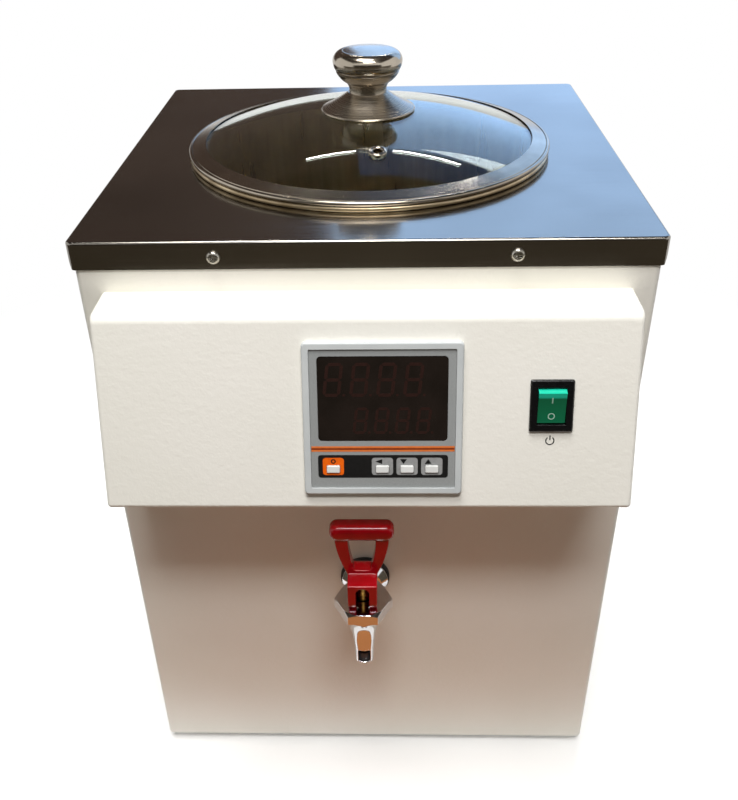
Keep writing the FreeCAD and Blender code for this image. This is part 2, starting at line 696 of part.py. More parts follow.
def tank():
    """The rolled wall of the pot, with the bead that hangs it on the pan, and its ports."""
    r, i = POT_RADIUS, POT_INNER
    top, seam = PAN_TOP_Z + BEAD_HEIGHT, POT_FLOOR_Z + POT_CORNER
    bead, half = r + BEAD_REACH, BEAD_HEIGHT / 2
    wall = at_pot(turned(
        (r, seam), (r, PAN_TOP_Z), (bead - half, PAN_TOP_Z), ((bead, PAN_TOP_Z + half), (bead - half, top)),
        (i + 0.6, top), ((i + 0.18, top - 0.18), (i, top - 0.6)), (i, seam),
    ))
    wall = wall.cut(rod(POT_PORT, Vector(TAP_X, 0, SHANK_Z), Vector(TAP_X, POT_Y, SHANK_Z)))
    probe_hole = rod(PROBE_RADIUS + FIT, Vector(0, POT_Y, SHANK_Z), Vector(CABINET_WIDTH, POT_Y, SHANK_Z))
    return wall.cut(probe_hole)


def tank_floor():
    """The dished floor, butt-welded to the wall where its round corner ends."""
    r, i, c, floor = POT_RADIUS, POT_INNER, POT_CORNER, POT_FLOOR_Z
    k = c * (1 - math.sqrt(0.5))
    ki = (c - POT_WALL) * (1 - math.sqrt(0.5))
    return at_pot(turned(
        (0, floor), (r - c, floor), ((r - k, floor + k), (r, floor + c)),
        (i, floor + c), ((i - ki, floor + POT_WALL + ki), (r - c, floor + POT_WALL)),
        (0, floor + POT_WALL),
    ))


def tank_outlet():
    """A socket welded to the pot that takes the tap's threaded tail."""
    near_end, pot_face = SHANK_TAIL - 14.0, POT_Y
    start = Vector(TAP_X, near_end, SHANK_Z)
    socket = rod(13.0, start, Vector(TAP_X, pot_face, SHANK_Z))
    socket = socket.cut(pot_drum(POT_RADIUS, SHANK_Z - 40, SHANK_Z + 40))
    socket = socket.cut(rod(SHANK_RADIUS + SHAFT_PLAY, start, Vector(TAP_X, SHANK_TAIL + FIT, SHANK_Z)))
    return socket.cut(rod(8.0, start, Vector(TAP_X, pot_face, SHANK_Z)))


def heater_band():
    """A clamped resistance band round the pot, split at the back, with its two clamp ears."""
    inner = POT_RADIUS + FIT
    band = pot_drum(HEATER_RADIUS, HEATER_Z, HEATER_Z + HEATER_HEIGHT).cut(
        pot_drum(inner, HEATER_Z, HEATER_Z + HEATER_HEIGHT))
    half = HEATER_SPLIT / 2
    outer_y = POT_Y + HEATER_RADIUS
    band = band.cut(box(-half, half, POT_Y, outer_y + 20, HEATER_Z, HEATER_Z + HEATER_HEIGHT))
    for side in (-1, 1):
        x0, x1 = sorted((side * half, side * (half + 2.0)))
        ear = box(x0, x1, POT_Y + inner + 0.2, outer_y + 12, HEATER_Z + 20, HEATER_Z + HEATER_HEIGHT - 20)
        band = band.fuse(ear)
    band = band.cut(pot_drum(inner, HEATER_Z - 1, HEATER_Z + HEATER_HEIGHT + 1))
    return band.cut(heater_screw_rod(2.0 + FIT)).removeSplitter()


def heater_screw_rod(radius):
    z, y = HEATER_Z + HEATER_HEIGHT / 2, POT_Y + HEATER_RADIUS + 7.0
    half = HEATER_SPLIT / 2 + 6
    return rod(radius, Vector(-half, y, z), Vector(half, y, z))


def heater_screw():
    z, y = HEATER_Z + HEATER_HEIGHT / 2, POT_Y + HEATER_RADIUS + 7.0
    seat = HEATER_SPLIT / 2 + 2.0
    fixing = screw(3.5, 2.6, 2.0, 2 * seat + 5.0)
    nut = hexagon(7.0, 0, 3.2).cut(rod(2.0, Vector(), Z_AXIS * 4))
    return [placed(fixing, Vector(seat, y, z), X_AXIS), placed(nut, Vector(-seat, y, z), -X_AXIS)]


def insulation_jacket():
    inner, outer = HEATER_RADIUS + RUNNING, HEATER_RADIUS + RUNNING + INSULATION
    top = CABINET_TOP_Z - INSULATION_TOP_GAP
    jacket = pot_drum(outer, INSULATION_Z, top).cut(pot_drum(inner, INSULATION_Z, top))
    gap = HEATER_SPLIT / 2 + 12
    return jacket.cut(box(-gap, gap, POT_Y, POT_Y + outer + 5, INSULATION_Z, top))


def insulation_base():
    disc = pot_drum(POT_RADIUS - POT_CORNER, POT_FLOOR_Z - BASE_INSULATION, POT_FLOOR_Z)
    return disc.cut(pot_drum(22.0, POT_FLOOR_Z - BASE_INSULATION, POT_FLOOR_Z))


def overheat_thermostat():
    """A disc cut-out held to the pot's floor, with two tabs."""
    body = turned((0, -10), (8, -10), (8, -2), (12.5, -2), (12.5, 0), (0, 0))
    for side in (-1, 1):
        body = body.fuse(box(side * 4 - 0.4, side * 4 + 0.4, -3, 3, -17, -10))
    return placed(body.removeSplitter(), Vector(0, POT_Y, POT_FLOOR_Z))


def temperature_probe():
    """A sensor pocket through the pot's right side, with its hexagon."""
    wall = POT_RADIUS
    probe = rod(PROBE_RADIUS, Z_AXIS * -45, Z_AXIS * 4)
    probe = probe.fuse(hexagon(17, 0.2, 8)).fuse(rod(3.0, Z_AXIS * 7, Z_AXIS * 22))
    return placed(probe.removeSplitter(), Vector(wall, POT_Y, SHANK_Z), X_AXIS)


# Parts on the base plate and the rear panel.

DECK_Z = GROUND_GAP + 2 * SHEET


def relay_heat_sink():
    """An extruded sink with upright fins at its sides."""
    x, y = 60.0, 70.0
    sink = box(x - 30, x + 30, y - 35, y + 35, DECK_Z, DECK_Z + 26)
    for i in range(7):
        fin_x = x - 26.5 + 8.0 * i
        sink = sink.cut(box(fin_x, fin_x + 5.0, y - 36, y + 36, DECK_Z + 4, DECK_Z + 20))
    return sink


def solid_state_relay():
    x, y, z = 60.0, 70.0, DECK_Z + 26
    relay = box(x - 22.5, x + 22.5, y - 29, y + 29, z, z + 23)
    for sx in (-1, 1):
        for sy in (-1, 1):
            corner = (x + sx * 12.5, y + sy * 22)
            well = box(corner[0] - 7, corner[0] + 7, corner[1] - 8, corner[1] + 8, z + 15, z + 24)
            relay = relay.cut(well).fuse(rod(3.5, Vector(*corner, z + 15), Vector(*corner, z + 19)))
    return relay.removeSplitter()


def terminal_block():
    x, y, z = -60.0, 280.0, DECK_Z
    block = box(x - 33, x + 33, y - 11, y + 11, z, z + 16)
    for i in range(5):
        left = x - 31.0 + 12.6 * i
        block = block.cut(box(left, left + 11.0, y - 12, y + 12, z + 9, z + 17))
    return block


def inlet_prism(width, height, y0, y1):
    """A six-sided prism, two corners cut off, for the mains inlet's body and socket."""
    w, h, cut = width / 2, height / 2, 4.0
    outline = flat_face(
        "xz", (-w, -h), (w, -h), (w, h - cut), (w - cut, h), (-w + cut, h), (-w, h - cut)
    )
    return outline.extrude(Vector(0, y1 - y0, 0)).translate(Vector(INLET_X, y0, INLET_Z))


def inlet_screw_places():
    for side in (-1, 1):
        yield Vector(INLET_X + side * 20.0, REAR_Y + INLET_FLANGE, INLET_Z), Y_AXIS


def power_inlet():
    w, h = INLET_SOCKET
    face = REAR_Y + INLET_FLANGE
    flange = rounded_slab(50, 26, 4, 0, INLET_FLANGE)
    inlet = placed(flange, Vector(INLET_X, REAR_Y, INLET_Z), Y_AXIS)
    inlet = inlet.fuse(inlet_prism(w + 2 * INLET_WALL, h + 2 * INLET_WALL, face - INLET_DEPTH, REAR_Y))
    bottom = face - INLET_SOCKET_DEPTH
    inlet = inlet.cut(inlet_prism(w, h, bottom, face + 1))
    for x, z in ((-7, -2), (0, 3), (7, -2)):
        px, pz = INLET_X + x, INLET_Z + z
        pin = box(px - 1, px + 1, bottom - 1, bottom + INLET_PIN, pz - 2, pz + 2)
        tab = box(px - 0.4, px + 0.4, bottom - 14, bottom - 3, pz - 3, pz + 3)
        inlet = inlet.fuse(pin).fuse(tab)
    inlet = bore_all(inlet.removeSplitter(), inlet_screw_places(), 1.5 + FIT, 9)
    return bore_all(inlet, inlet_screw_places(), 2.8 + FIT, INLET_SCREW_SINK)


def inlet_screws():
    """Small screws whose heads sit in the flange's counterbores."""
    fixing, sink = screw(2.8, 1.8, 1.5, 8.0), Y_AXIS * INLET_SCREW_SINK
    return [placed(fixing, p - sink, d) for p, d in inlet_screw_places()]


def fuse_holder():
    """A round panel fuse holder with its slotted cap and its ring nut."""
    holder = turned(
        (0, -36), (4.5, -36), (4.5, -24), (6.0, -24), (6.0, 0), (8.2, 0), (8.2, 1.8), (7.4, 2.4),
        (5.6, 2.4), (5.6, 2.9), (0, 2.9),
    )
    holder = holder.cut(box(-5, 5, -0.6, 0.6, 1.9, 4))
    nut = hexagon(15.0, -SHEET - 4.0, -SHEET).cut(rod(6.0 + SHAFT_PLAY, Vector(0, 0, -9), Vector()))
    spot = Vector(FUSE_X, REAR_Y, INLET_Z)
    return [placed(holder, spot, Y_AXIS), placed(nut, spot, Y_AXIS)]


# Lid. Drawn about Z, then moved over the pot.

GLASS_RIM = POT_INNER - 1.1
BAND_OUTER = LID_RADIUS - LID_ROLL / 2 - 0.7
BAND_INNER = BAND_OUTER - LID_BAND
BAND_TOP_Z = LID_SEAT_Z + LID_ROLL + LID_BAND_RISE


def crown_drop(radius, crown):
    """How far a dome of that crown radius has fallen at a radius from its middle."""
    return crown - math.sqrt(crown * crown - radius * radius)


GLASS_TOP_Z = BAND_TOP_Z - LID_SHEET - FIT + crown_drop(BAND_INNER, GLASS_CROWN)


def glass_z(radius):
    return GLASS_TOP_Z - crown_drop(radius, GLASS_CROWN)


def underglass_z(radius):
    return GLASS_TOP_Z - GLASS_THICKNESS - crown_drop(radius, GLASS_CROWN - GLASS_THICKNESS)


def lid_glass():
    """A domed disc with a hole for the knob and one for the vent."""
    hole, rim = 4.3, GLASS_RIM
    middle = rim * 0.55
    glass = turned(
        (hole, underglass_z(hole)),
        ((middle, underglass_z(middle)), (rim - 0.4, underglass_z(rim - 0.4))),
        (rim, underglass_z(rim) + 0.4), (rim, glass_z(rim) - 0.4), (rim - 0.4, glass_z(rim - 0.4)),
        ((middle, glass_z(middle)), (hole, glass_z(hole))),
    )
    return at_pot(glass.cut(on_vent(rod(VENT_HOLE + 1.5, Z_AXIS * -12, Z_AXIS * 12))))


def lid_rim_band():
    """The folded steel band that holds the glass, rests on the bead and plugs the pot."""
    seat, roll = LID_SEAT_Z, LID_ROLL / 2
    plug_outer, plug_bottom = POT_INNER - 0.5, LID_SEAT_Z - LID_PLUG
    plug_inner = plug_outer - LID_SHEET
    channel = GLASS_RIM + 0.2
    lip_z = underglass_z(GLASS_RIM) - 0.2
    slope = LID_BAND_RISE / LID_BAND
    under = BAND_TOP_Z - (channel - BAND_INNER) * slope - LID_SHEET
    band = turned(
        (BAND_INNER, BAND_TOP_Z), (BAND_OUTER - 0.5, seat + LID_ROLL + 0.15),
        (BAND_OUTER - 0.1, seat + LID_ROLL - 0.7), (BAND_OUTER + 0.5, seat + LID_ROLL),
        ((LID_RADIUS, seat + roll), (LID_RADIUS - roll, seat)),
        (plug_outer, seat), (plug_outer, plug_bottom), (plug_inner, plug_bottom),
        (plug_inner, lip_z - LID_SHEET), (plug_inner - 3.2, lip_z - LID_SHEET), (plug_inner - 3.2, lip_z),
        (channel, lip_z), (channel, under), (BAND_INNER + 0.3, BAND_TOP_Z - LID_SHEET),
        (BAND_INNER, BAND_TOP_Z - LID_SHEET * 0.6),
    )
    return at_pot(band)


def lid_knob_base():
    """A spun cone that spreads the knob's pull over the glass."""
    r, neck = KNOB_BASE_RADIUS, KNOB_NECK
    foot, top = glass_z(r - 1.2) + 0.05, GLASS_TOP_Z + KNOB_BASE_HEIGHT
    base = turned(
        (4.0, top), (neck, top), ((neck + 6.0, top - 4.2), (r - 0.5, foot + 1.6)), (r, foot + 0.8),
        (r - 0.5, foot + 0.1), (r - 1.2, foot), (r - 1.6, foot + 0.7),
        ((neck + 5.0, top - 5.4), (neck - 1.0, top - 1.4)), (8.0, top - 1.4), (8.0, GLASS_TOP_Z + 0.05),
        (4.0, GLASS_TOP_Z + 0.05),
    )
    return at_pot(base)


KNOB_Z = GLASS_TOP_Z + KNOB_BASE_HEIGHT
KNOB_CAP_Z = KNOB_Z + KNOB_BODY_HEIGHT


def lid_knob():
    """The flared stem of the knob, bored for its screw."""
    neck, ridge, top = KNOB_NECK, KNOB_RIDGE, KNOB_CAP_Z
    knob = turned(
        (3.0 + SHAFT_PLAY, KNOB_Z), (neck - 0.8, KNOB_Z),
        ((neck - 0.6, KNOB_Z + 3.5), (neck + 1.4, KNOB_Z + 7.0)),
        ((ridge - 2.2, top - 4.0), (ridge, top - 0.6)), (ridge - 0.6, top), (3.0 + SHAFT_PLAY, top),
    )
    return at_pot(knob)


def lid_knob_cap():
    """The rounded grip on top of the stem, with the groove between them."""
    r, z, top = KNOB_CAP_RADIUS, KNOB_CAP_Z, KNOB_CAP_Z + KNOB_CAP_HEIGHT
    middle, edge = r * 0.38, r - 7.5
    cap = turned(
        (0, z), (KNOB_RIDGE - 1.6, z), (KNOB_RIDGE - 1.6, z + 0.8), (KNOB_RIDGE + 0.6, z + 1.2),
        ((r - 0.25, z + 4.6), (r, z + 7.4)),
        ((r - 2.2, z + 11.9), (edge, top - crown_drop(edge, KNOB_CROWN))),
        ((middle, top - crown_drop(middle, KNOB_CROWN)), (0, top)),
    )
    return at_pot(cap)


def lid_knob_screw():
    """The screw from below, whose head bears on the washer under the glass."""
    seat = GLASS_TOP_Z - GLASS_THICKNESS - 1.6
    fixing = screw(7.0, 3.6, 3.0, KNOB_Z - seat + 12.0)
    return at_pot(placed(fixing, Vector(0, 0, seat), -Z_AXIS))


def lid_knob_washer():
    seat = GLASS_TOP_Z - GLASS_THICKNESS - 1.6
    washer = turned(
        (3.0 + FIT, seat), (13.0, seat),
        (13.0, underglass_z(13.0) - 0.05), (3.0 + FIT, underglass_z(3.0) - 0.05),
    )
    return at_pot(washer)


def on_vent(shape):
    """Sets a shape drawn about Z on the dome where the steam vent is, square to the glass."""
    reach = math.hypot(*VENT_OFFSET)
    tilt = math.degrees(math.asin(reach / GLASS_CROWN))
    across = Vector(-VENT_OFFSET[1], VENT_OFFSET[0], 0)
    copy = shape.copy()
    copy.Placement = Placement(Vector(*VENT_OFFSET, glass_z(reach)), Rotation(across, tilt))
    return copy


def steam_vent():
    """A steel eyelet closed over both faces of the glass."""
    r, hole, t = VENT_FLANGE, VENT_HOLE, GLASS_THICKNESS
    eyelet = turned(
        (hole, -t - 1.2), (r - 0.6, -t - 1.2), (r - 0.3, -t - FIT), (hole + 1.3, -t - FIT), (hole + 1.3, FIT),
        (r - 0.3, FIT), ((r - 0.1, 0.9), (r - 1.0, 1.5)), ((hole + 1.2, 1.7), (hole, 0.9)),
    )
    return at_pot(on_vent(eyelet))


# Tap. Its valve axis is vertical at (TAP_X, TAP_Y).

def at_tap(shape):
    return shape.translate(Vector(TAP_X, TAP_Y, 0))


def on_shank(y):
    return Vector(TAP_X, y, SHANK_Z)


def tap_casting():
    """The outside of the body: a funnel below the hexagon, and the shank with its flange."""
    top, tip = BODY_TOP_Z, SPOUT_TIP_Z
    funnel = turned(
        (0, tip), (SPOUT_RADIUS, tip), (SPOUT_RADIUS + 0.4, tip + 12), (SPOUT_RADIUS + 1.6, SHANK_Z - 8.0),
        ((SPOUT_RADIUS + 4.4, SHANK_Z + 4.5), (BODY_TOP_RADIUS, top - 2.0)), (BODY_TOP_RADIUS, top), (0, top),
    )
    body = at_tap(funnel).fuse(rod(SHANK_RADIUS, on_shank(TAP_Y), on_shank(SHANK_TAIL)))
    flange = Part.makeCone(SHANK_RADIUS + 2.5, TAP_FLANGE, 4.0, on_shank(-9.5), Y_AXIS)
    return body.fuse(flange).fuse(rod(TAP_FLANGE, on_shank(-5.5), on_shank(-2.5)))


def tap_passage():
    """The bore of the shank, the valve chamber, and the spout with its cut-open front."""
    top, tip, r = BODY_TOP_Z, SPOUT_TIP_Z, CHAMBER_RADIUS
    passage = turned(
        (0, tip - 1), (SPOUT_BORE, tip - 1), (SPOUT_BORE, SEAT_Z), (r, SEAT_Z + 1.5), (r, top - 12.0),
        (8.2, top - 9.0), (8.2, top - 6.0), (BONNET_SPIGOT + FIT, top - 6.0), (BONNET_SPIGOT + FIT, top + 1),
        (0, top + 1),
    )
    passage = at_tap(passage).fuse(rod(SHANK_BORE, on_shank(TAP_Y), on_shank(SHANK_TAIL + 1)))
    w, arch = SPOUT_NOTCH_WIDTH / 2, tip + SPOUT_NOTCH_HEIGHT
    notch = flat_face(
        "xz",
        (-w, tip - 2), (w, tip - 2), (w, arch - 2), ((w - 0.6, arch - 0.6), (w - 2, arch)),
        (-w + 2, arch), ((-w + 0.6, arch - 0.6), (-w, arch - 2)),
    ).extrude(Vector(0, 12, 0)).translate(Vector(TAP_X, TAP_Y - 12, 0))
    return passage.fuse(notch)


def tap_body():
    return tap_casting().cut(tap_passage()).removeSplitter()


def tap_wall_washer():
    return tube(TAP_WASHER, SHANK_RADIUS + FIT, on_shank(-2.5), on_shank(0))


def tap_mounting_nut():
    start = SHEET + 1.5
    nut = hexagon(27.0, 0, 6.0).cut(rod(SHANK_RADIUS + SHAFT_PLAY, Vector(0, 0, -1), Vector(0, 0, 9)))
    return placed(nut, on_shank(start), Y_AXIS)


def tap_gasket():
    return tube(14.5, SHANK_RADIUS + FIT, on_shank(SHEET), on_shank(SHEET + 1.5))


def tap_bonnet():
    """The hexagonal cap that guides the stem and holds the spring."""
    top = BONNET_TOP_Z
    cap = hexagon(BONNET_FLATS, BODY_TOP_Z, top)
    corner = BONNET_FLATS / math.sqrt(3)
    dome = turned(
        (0, BODY_TOP_Z - 1), (corner + 1, BODY_TOP_Z - 1),
        (corner + 1, top - 2.4), (BONNET_FLATS / 2, top), (0, top),
    )
    cap = cap.common(dome)
    cap = cap.fuse(rod(BONNET_SPIGOT, Vector(0, 0, BODY_TOP_Z - 5.8), Vector(0, 0, BODY_TOP_Z + 1)))
    cap = cap.cut(rod(7.4, Vector(0, 0, BODY_TOP_Z - 6), Vector(0, 0, SPRING_TOP_Z)))
    cap = cap.cut(rod(STEM_RADIUS + SHAFT_PLAY, Vector(0, 0, 0), Vector(0, 0, top + 1)))
    return at_tap(cap.removeSplitter())


def tap_stem():
    """The brass spindle: a round shank, an eye for the lever's pin, and a collar in the cup."""
    low = SEAT_Z + 5.0
    stem = rod(STEM_RADIUS, Vector(0, 0, low), Vector(0, 0, PIN_Z))
    eye = rod(STEM_RADIUS, Vector(-STEM_RADIUS, 0, PIN_Z), Vector(STEM_RADIUS, 0, PIN_Z))
    stem = stem.fuse(eye.common(rod(STEM_RADIUS, Vector(0, 0, PIN_Z - 5), Vector(0, 0, PIN_Z + 5))))
    stem = stem.cut(rod(LEVER_PIN + FIT, Vector(-9, 0, PIN_Z), Vector(9, 0, PIN_Z)))
    return at_tap(stem.removeSplitter())


def tap_seat_cup():
    """The soft plug that closes the seat, pushed on the stem's lower end."""
    low, top, bore = SEAT_Z + RUNNING, SPRING_BOTTOM_Z - 0.2, STEM_RADIUS + FIT
    cup = turned(
        (0, low), (SPOUT_BORE - 0.6, low), (CHAMBER_RADIUS - 0.6, SEAT_Z + 3.0), (CHAMBER_RADIUS - 0.6, top),
        (bore, top), (bore, SEAT_Z + 5.0 - FIT), (0, SEAT_Z + 5.0 - FIT),
    )
    return at_tap(cup)


def tap_spring():
    """The coil that closes the valve, between the cup and the bonnet, of six-sided wire."""
    bottom, top = SPRING_BOTTOM_Z + SPRING_WIRE + FIT, SPRING_TOP_Z - SPRING_WIRE - FIT

    def point(step):
        turn = 2 * math.pi * step / SPRING_STEPS
        rise = (top - bottom) * step / (SPRING_STEPS * SPRING_TURNS)
        return Vector(SPRING_COIL * math.cos(turn), SPRING_COIL * math.sin(turn), bottom + rise)

    path = Part.makePolygon([point(step) for step in range(SPRING_STEPS * SPRING_TURNS + 1)])
    along = point(1) - point(0)
    aside = along.cross(Z_AXIS).normalize()
    upward = aside.cross(along).normalize()
    corners = [math.radians(60 * i) for i in range(7)]
    wire = [point(0) + (aside * math.cos(c) + upward * math.sin(c)) * SPRING_WIRE for c in corners]
    coil = path.makePipeShell([Part.makePolygon(wire)], True, True, 1)
    return at_tap(coil)


def lever_block():
    """The cam block: a vertical front, a round heel that rides on the bonnet, a flat sole."""
    half, front = LEVER_WIDTH / 2, -HEEL_OFFSET - HEEL_RADIUS
    sole, k = PIN_Z - HEEL_RADIUS, HEEL_RADIUS * math.sqrt(0.5)
    side = flat_face(
        "yz",
        (-HEEL_OFFSET, sole), (BLOCK_BACK - 4, sole),
        ((BLOCK_BACK - 1.2, sole + 1.2), (BLOCK_BACK, sole + 4)), (BLOCK_BACK, BLOCK_TOP_Z - 6),
        ((BLOCK_BACK - 2.2, BLOCK_TOP_Z - 1.6), (LEVER_PLATE / 2, BLOCK_TOP_Z + 1)),
        (-LEVER_PLATE / 2, BLOCK_TOP_Z + 1), (front + 1.0, BLOCK_TOP_Z),
        ((front + 0.3, BLOCK_TOP_Z - 0.3), (front, BLOCK_TOP_Z - 1.0)),
        (front, PIN_Z), ((-HEEL_OFFSET - k, PIN_Z - k), (-HEEL_OFFSET, sole)),
    )
    return side.extrude(Vector(2 * half, 0, 0)).translate(Vector(-half, 0, 0))


def lever_slot():
    """The arched slot, open in front and below, that the stem stands in."""
    w = STEM_RADIUS + 0.6
    arch = BLOCK_TOP_Z - 2.4
    foot = BONNET_TOP_Z - 1
    slot = flat_face("xz", (-w, foot), (w, foot), (w, arch - w), ((0, arch), (-w, arch - w)))
    depth = HEEL_OFFSET + HEEL_RADIUS + 1 + STEM_RADIUS + 0.6
    return slot.extrude(Vector(0, depth, 0)).translate(Vector(0, -HEEL_OFFSET - HEEL_RADIUS - 1, 0))


def lever_loop():
    """The upright D-shaped grip, as a plate with a tapering finger opening."""
    low, top = BLOCK_TOP_Z - 8.0, LOOP_TOP_Z + 2.0
    a, n = ARM_OUTER_HALF, LEVER_WIDTH / 2
    mid_z = (BLOCK_TOP_Z + LOOP_TOP_Z) / 2
    mid = (a + n) / 2 + 1.4
    plate = flat_face(
        "xz", (-n, low), (n, low), (n, BLOCK_TOP_Z), ((mid, mid_z), (a, LOOP_TOP_Z)), (a, top),
        (-a, top), (-a, LOOP_TOP_Z), ((-mid, mid_z), (-n, BLOCK_TOP_Z))
    ).extrude(Vector(0, LEVER_PLATE, 0)).translate(Vector(0, -LEVER_PLATE / 2, 0))
    t, b = LOOP_TOP_HALF, LOOP_BOTTOM_HALF
    open_mid = ((t + b) / 2 + 0.7, (LOOP_BOTTOM_Z + LOOP_TOP_Z) / 2)
    opening = flat_face(
        "xz", (-b + 1, LOOP_BOTTOM_Z), (b - 1, LOOP_BOTTOM_Z),
        (b, LOOP_BOTTOM_Z + 1), (open_mid, (t, LOOP_TOP_Z)), (-t, LOOP_TOP_Z), ((-open_mid[0], open_mid[1]), (-b, LOOP_BOTTOM_Z + 1))
    ).extrude(Vector(0, 20, 0)).translate(Vector(0, -10, 0))
    return plate, opening


def lever_bar():
    """The thick rounded crossbar on top of the loop."""
    w, d = LOOP_BAR_WIDTH, LOOP_BAR_DEPTH
    bar = box(-w / 2, w / 2, -d / 2, d / 2, LOOP_TOP_Z, LOOP_TOP_Z + LOOP_BAR_HEIGHT)
    bar = fillet_where(bar, 5.4, lambda b: near(b.XLength, 0) and near(b.ZLength, 0))
    return fillet_where(bar, 4.2, lambda b: True)


def tap_lever():
    """The red handle: the D grip above the cam block, scooped in front for the thumb."""
    plate, opening = lever_loop()
    lever = lever_block().fuse(plate)
    scoop_radius = 22.0
    tilt = Vector(0, -0.24, 1)
    start = Vector(0, -LEVER_PLATE / 2 + 2.4 - scoop_radius, BLOCK_TOP_Z + 1.0)
    lever = lever.cut(rod(scoop_radius, start, start + tilt * 18))
    lever = lever.cut(opening).fuse(lever_bar()).cut(lever_slot())
    pin = rod(LEVER_PIN + SHAFT_PLAY, Vector(-LEVER_WIDTH, 0, PIN_Z), Vector(LEVER_WIDTH, 0, PIN_Z))
    return at_tap(lever.cut(pin).removeSplitter())


def tap_lever_pin():
    half = LEVER_WIDTH / 2 - 0.4
    return at_tap(rod(LEVER_PIN, Vector(-half, 0, PIN_Z), Vector(half, 0, PIN_Z)))


# Export.

def export(node, shape):
    solids = shape if isinstance(shape, list) else [shape]
    moved = [s.translated(TO_ORIGIN) for s in solids]
    whole = moved[0] if len(moved) == 1 else Part.makeCompound(moved)
    whole.exportStep(f"parts/{node}.step")


def keys():
    return {name: in_controller(controller_key(x)) for name, x in KEY_PLACES.items()}


def pieces():
    """Every node and its shape."""
    controller = {
        "controller_bezel": controller_bezel(),
        "controller_case": controller_case(),
        "controller_faceplate": controller_faceplate(),
        "controller_window": controller_window(),
        "display_board": display_board(),
    }
    made = {name: in_controller(shape) for name, shape in controller.items()}
    made["digit_modules"] = [in_controller(s) for s in digit_modules()]
    made["key_switches"] = [in_controller(s) for s in key_switches()]
    made["controller_clamps"] = [in_controller(s) for s in controller_clamps()]
    made.update(keys())
    made["switch_housing"] = on_face(switch_housing(), SWITCH_X, SWITCH_UP)
    made["switch_rocker"] = on_face(switch_rocker(), SWITCH_X, SWITCH_UP)
    made["switch_terminals"] = [on_face(s, SWITCH_X, SWITCH_UP) for s in switch_terminals()]
    made.update({
        "cabinet_shell": cabinet_shell(),
        "base_plate": base_plate(),
        "rear_panel": rear_panel(),
        "rubber_feet": rubber_feet(),
        "foot_screws": foot_screws(),
        "base_screws": [placed(PANEL_SCREW, p, d) for p, d in base_screw_places()],
        "rear_panel_screws": [placed(PANEL_SCREW, p, d) for p, d in rear_screw_places()],
        "top_pan": top_pan(),
        "pan_screws": [placed(PAN_SCREW, p, d) for p, d in pan_screw_places()],
        "control_box": control_box(),
        "control_box_screws": [placed(PANEL_SCREW, p, d) for p, d in box_screw_places()],
        "tank": tank(),
        "tank_floor": tank_floor(),
        "tank_outlet": tank_outlet(),
        "heater_band": heater_band(),
        "heater_screw": heater_screw(),
        "insulation_jacket": insulation_jacket(),
        "insulation_base": insulation_base(),
        "overheat_thermostat": overheat_thermostat(),
        "temperature_probe": temperature_probe(),
        "relay_heat_sink": relay_heat_sink(),
        "solid_state_relay": solid_state_relay(),
        "terminal_block": terminal_block(),
        "power_inlet": power_inlet(),
        "inlet_screws": inlet_screws(),
        "fuse_holder": fuse_holder(),
        "lid_glass": lid_glass(),
        "lid_rim_band": lid_rim_band(),
        "lid_knob_base": lid_knob_base(),
        "lid_knob": lid_knob(),
        "lid_knob_cap": lid_knob_cap(),
        "lid_knob_screw": lid_knob_screw(),
        "lid_knob_washer": lid_knob_washer(),
        "steam_vent": steam_vent(),
        "tap_body": tap_body(),
        "tap_wall_washer": tap_wall_washer(),
        "tap_mounting_nut": tap_mounting_nut(),
        "tap_gasket": tap_gasket(),
        "tap_bonnet": tap_bonnet(),
        "tap_stem": tap_stem(),
        "tap_seat_cup": tap_seat_cup(),
        "tap_spring": tap_spring(),
        "tap_lever": tap_lever(),
        "tap_lever_pin": tap_lever_pin(),
    })
    return made


os.makedirs("parts", exist_ok=True)
for node_name, node_shape in pieces().items():
    export(node_name, node_shape)
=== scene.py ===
"""The looks of the paraffin dispenser: finishes, printed marks, the moulded lever, light and camera."""
import json
import math

import bmesh
import bpy
from mathutils import Matrix, Vector


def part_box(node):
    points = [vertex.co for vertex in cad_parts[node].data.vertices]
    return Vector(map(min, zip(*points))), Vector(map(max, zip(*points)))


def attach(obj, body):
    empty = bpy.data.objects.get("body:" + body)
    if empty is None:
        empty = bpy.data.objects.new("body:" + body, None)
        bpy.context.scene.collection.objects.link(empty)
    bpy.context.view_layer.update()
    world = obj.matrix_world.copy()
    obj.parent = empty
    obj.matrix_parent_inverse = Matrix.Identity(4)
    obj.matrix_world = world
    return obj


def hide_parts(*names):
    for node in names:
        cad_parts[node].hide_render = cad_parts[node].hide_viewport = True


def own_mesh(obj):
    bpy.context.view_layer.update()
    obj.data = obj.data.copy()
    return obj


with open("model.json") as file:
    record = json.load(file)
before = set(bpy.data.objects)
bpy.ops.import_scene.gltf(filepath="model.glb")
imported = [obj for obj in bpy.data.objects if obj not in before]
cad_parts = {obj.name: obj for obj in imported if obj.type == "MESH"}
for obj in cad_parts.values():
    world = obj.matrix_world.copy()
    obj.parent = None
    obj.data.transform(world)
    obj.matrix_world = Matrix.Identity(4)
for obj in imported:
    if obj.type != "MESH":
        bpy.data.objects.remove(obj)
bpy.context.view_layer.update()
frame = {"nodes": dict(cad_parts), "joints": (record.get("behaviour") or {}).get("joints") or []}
NODES = frame["nodes"]
MM = 0.001

# Camera: where it stands, and how it is turned, in degrees.
CAMERA_AT = Vector((0.01295, -0.64499, 0.68575))
CAMERA_HEADING = -2.322
CAMERA_TILT = 32.798
CAMERA_ROLL = -1.488
CAMERA_LENS = 41.066
CAMERA_SENSOR = 36
CAMERA_SHIFT = (0.0164, -0.0092)
CAMERA_CLIP = (0.01, 50)

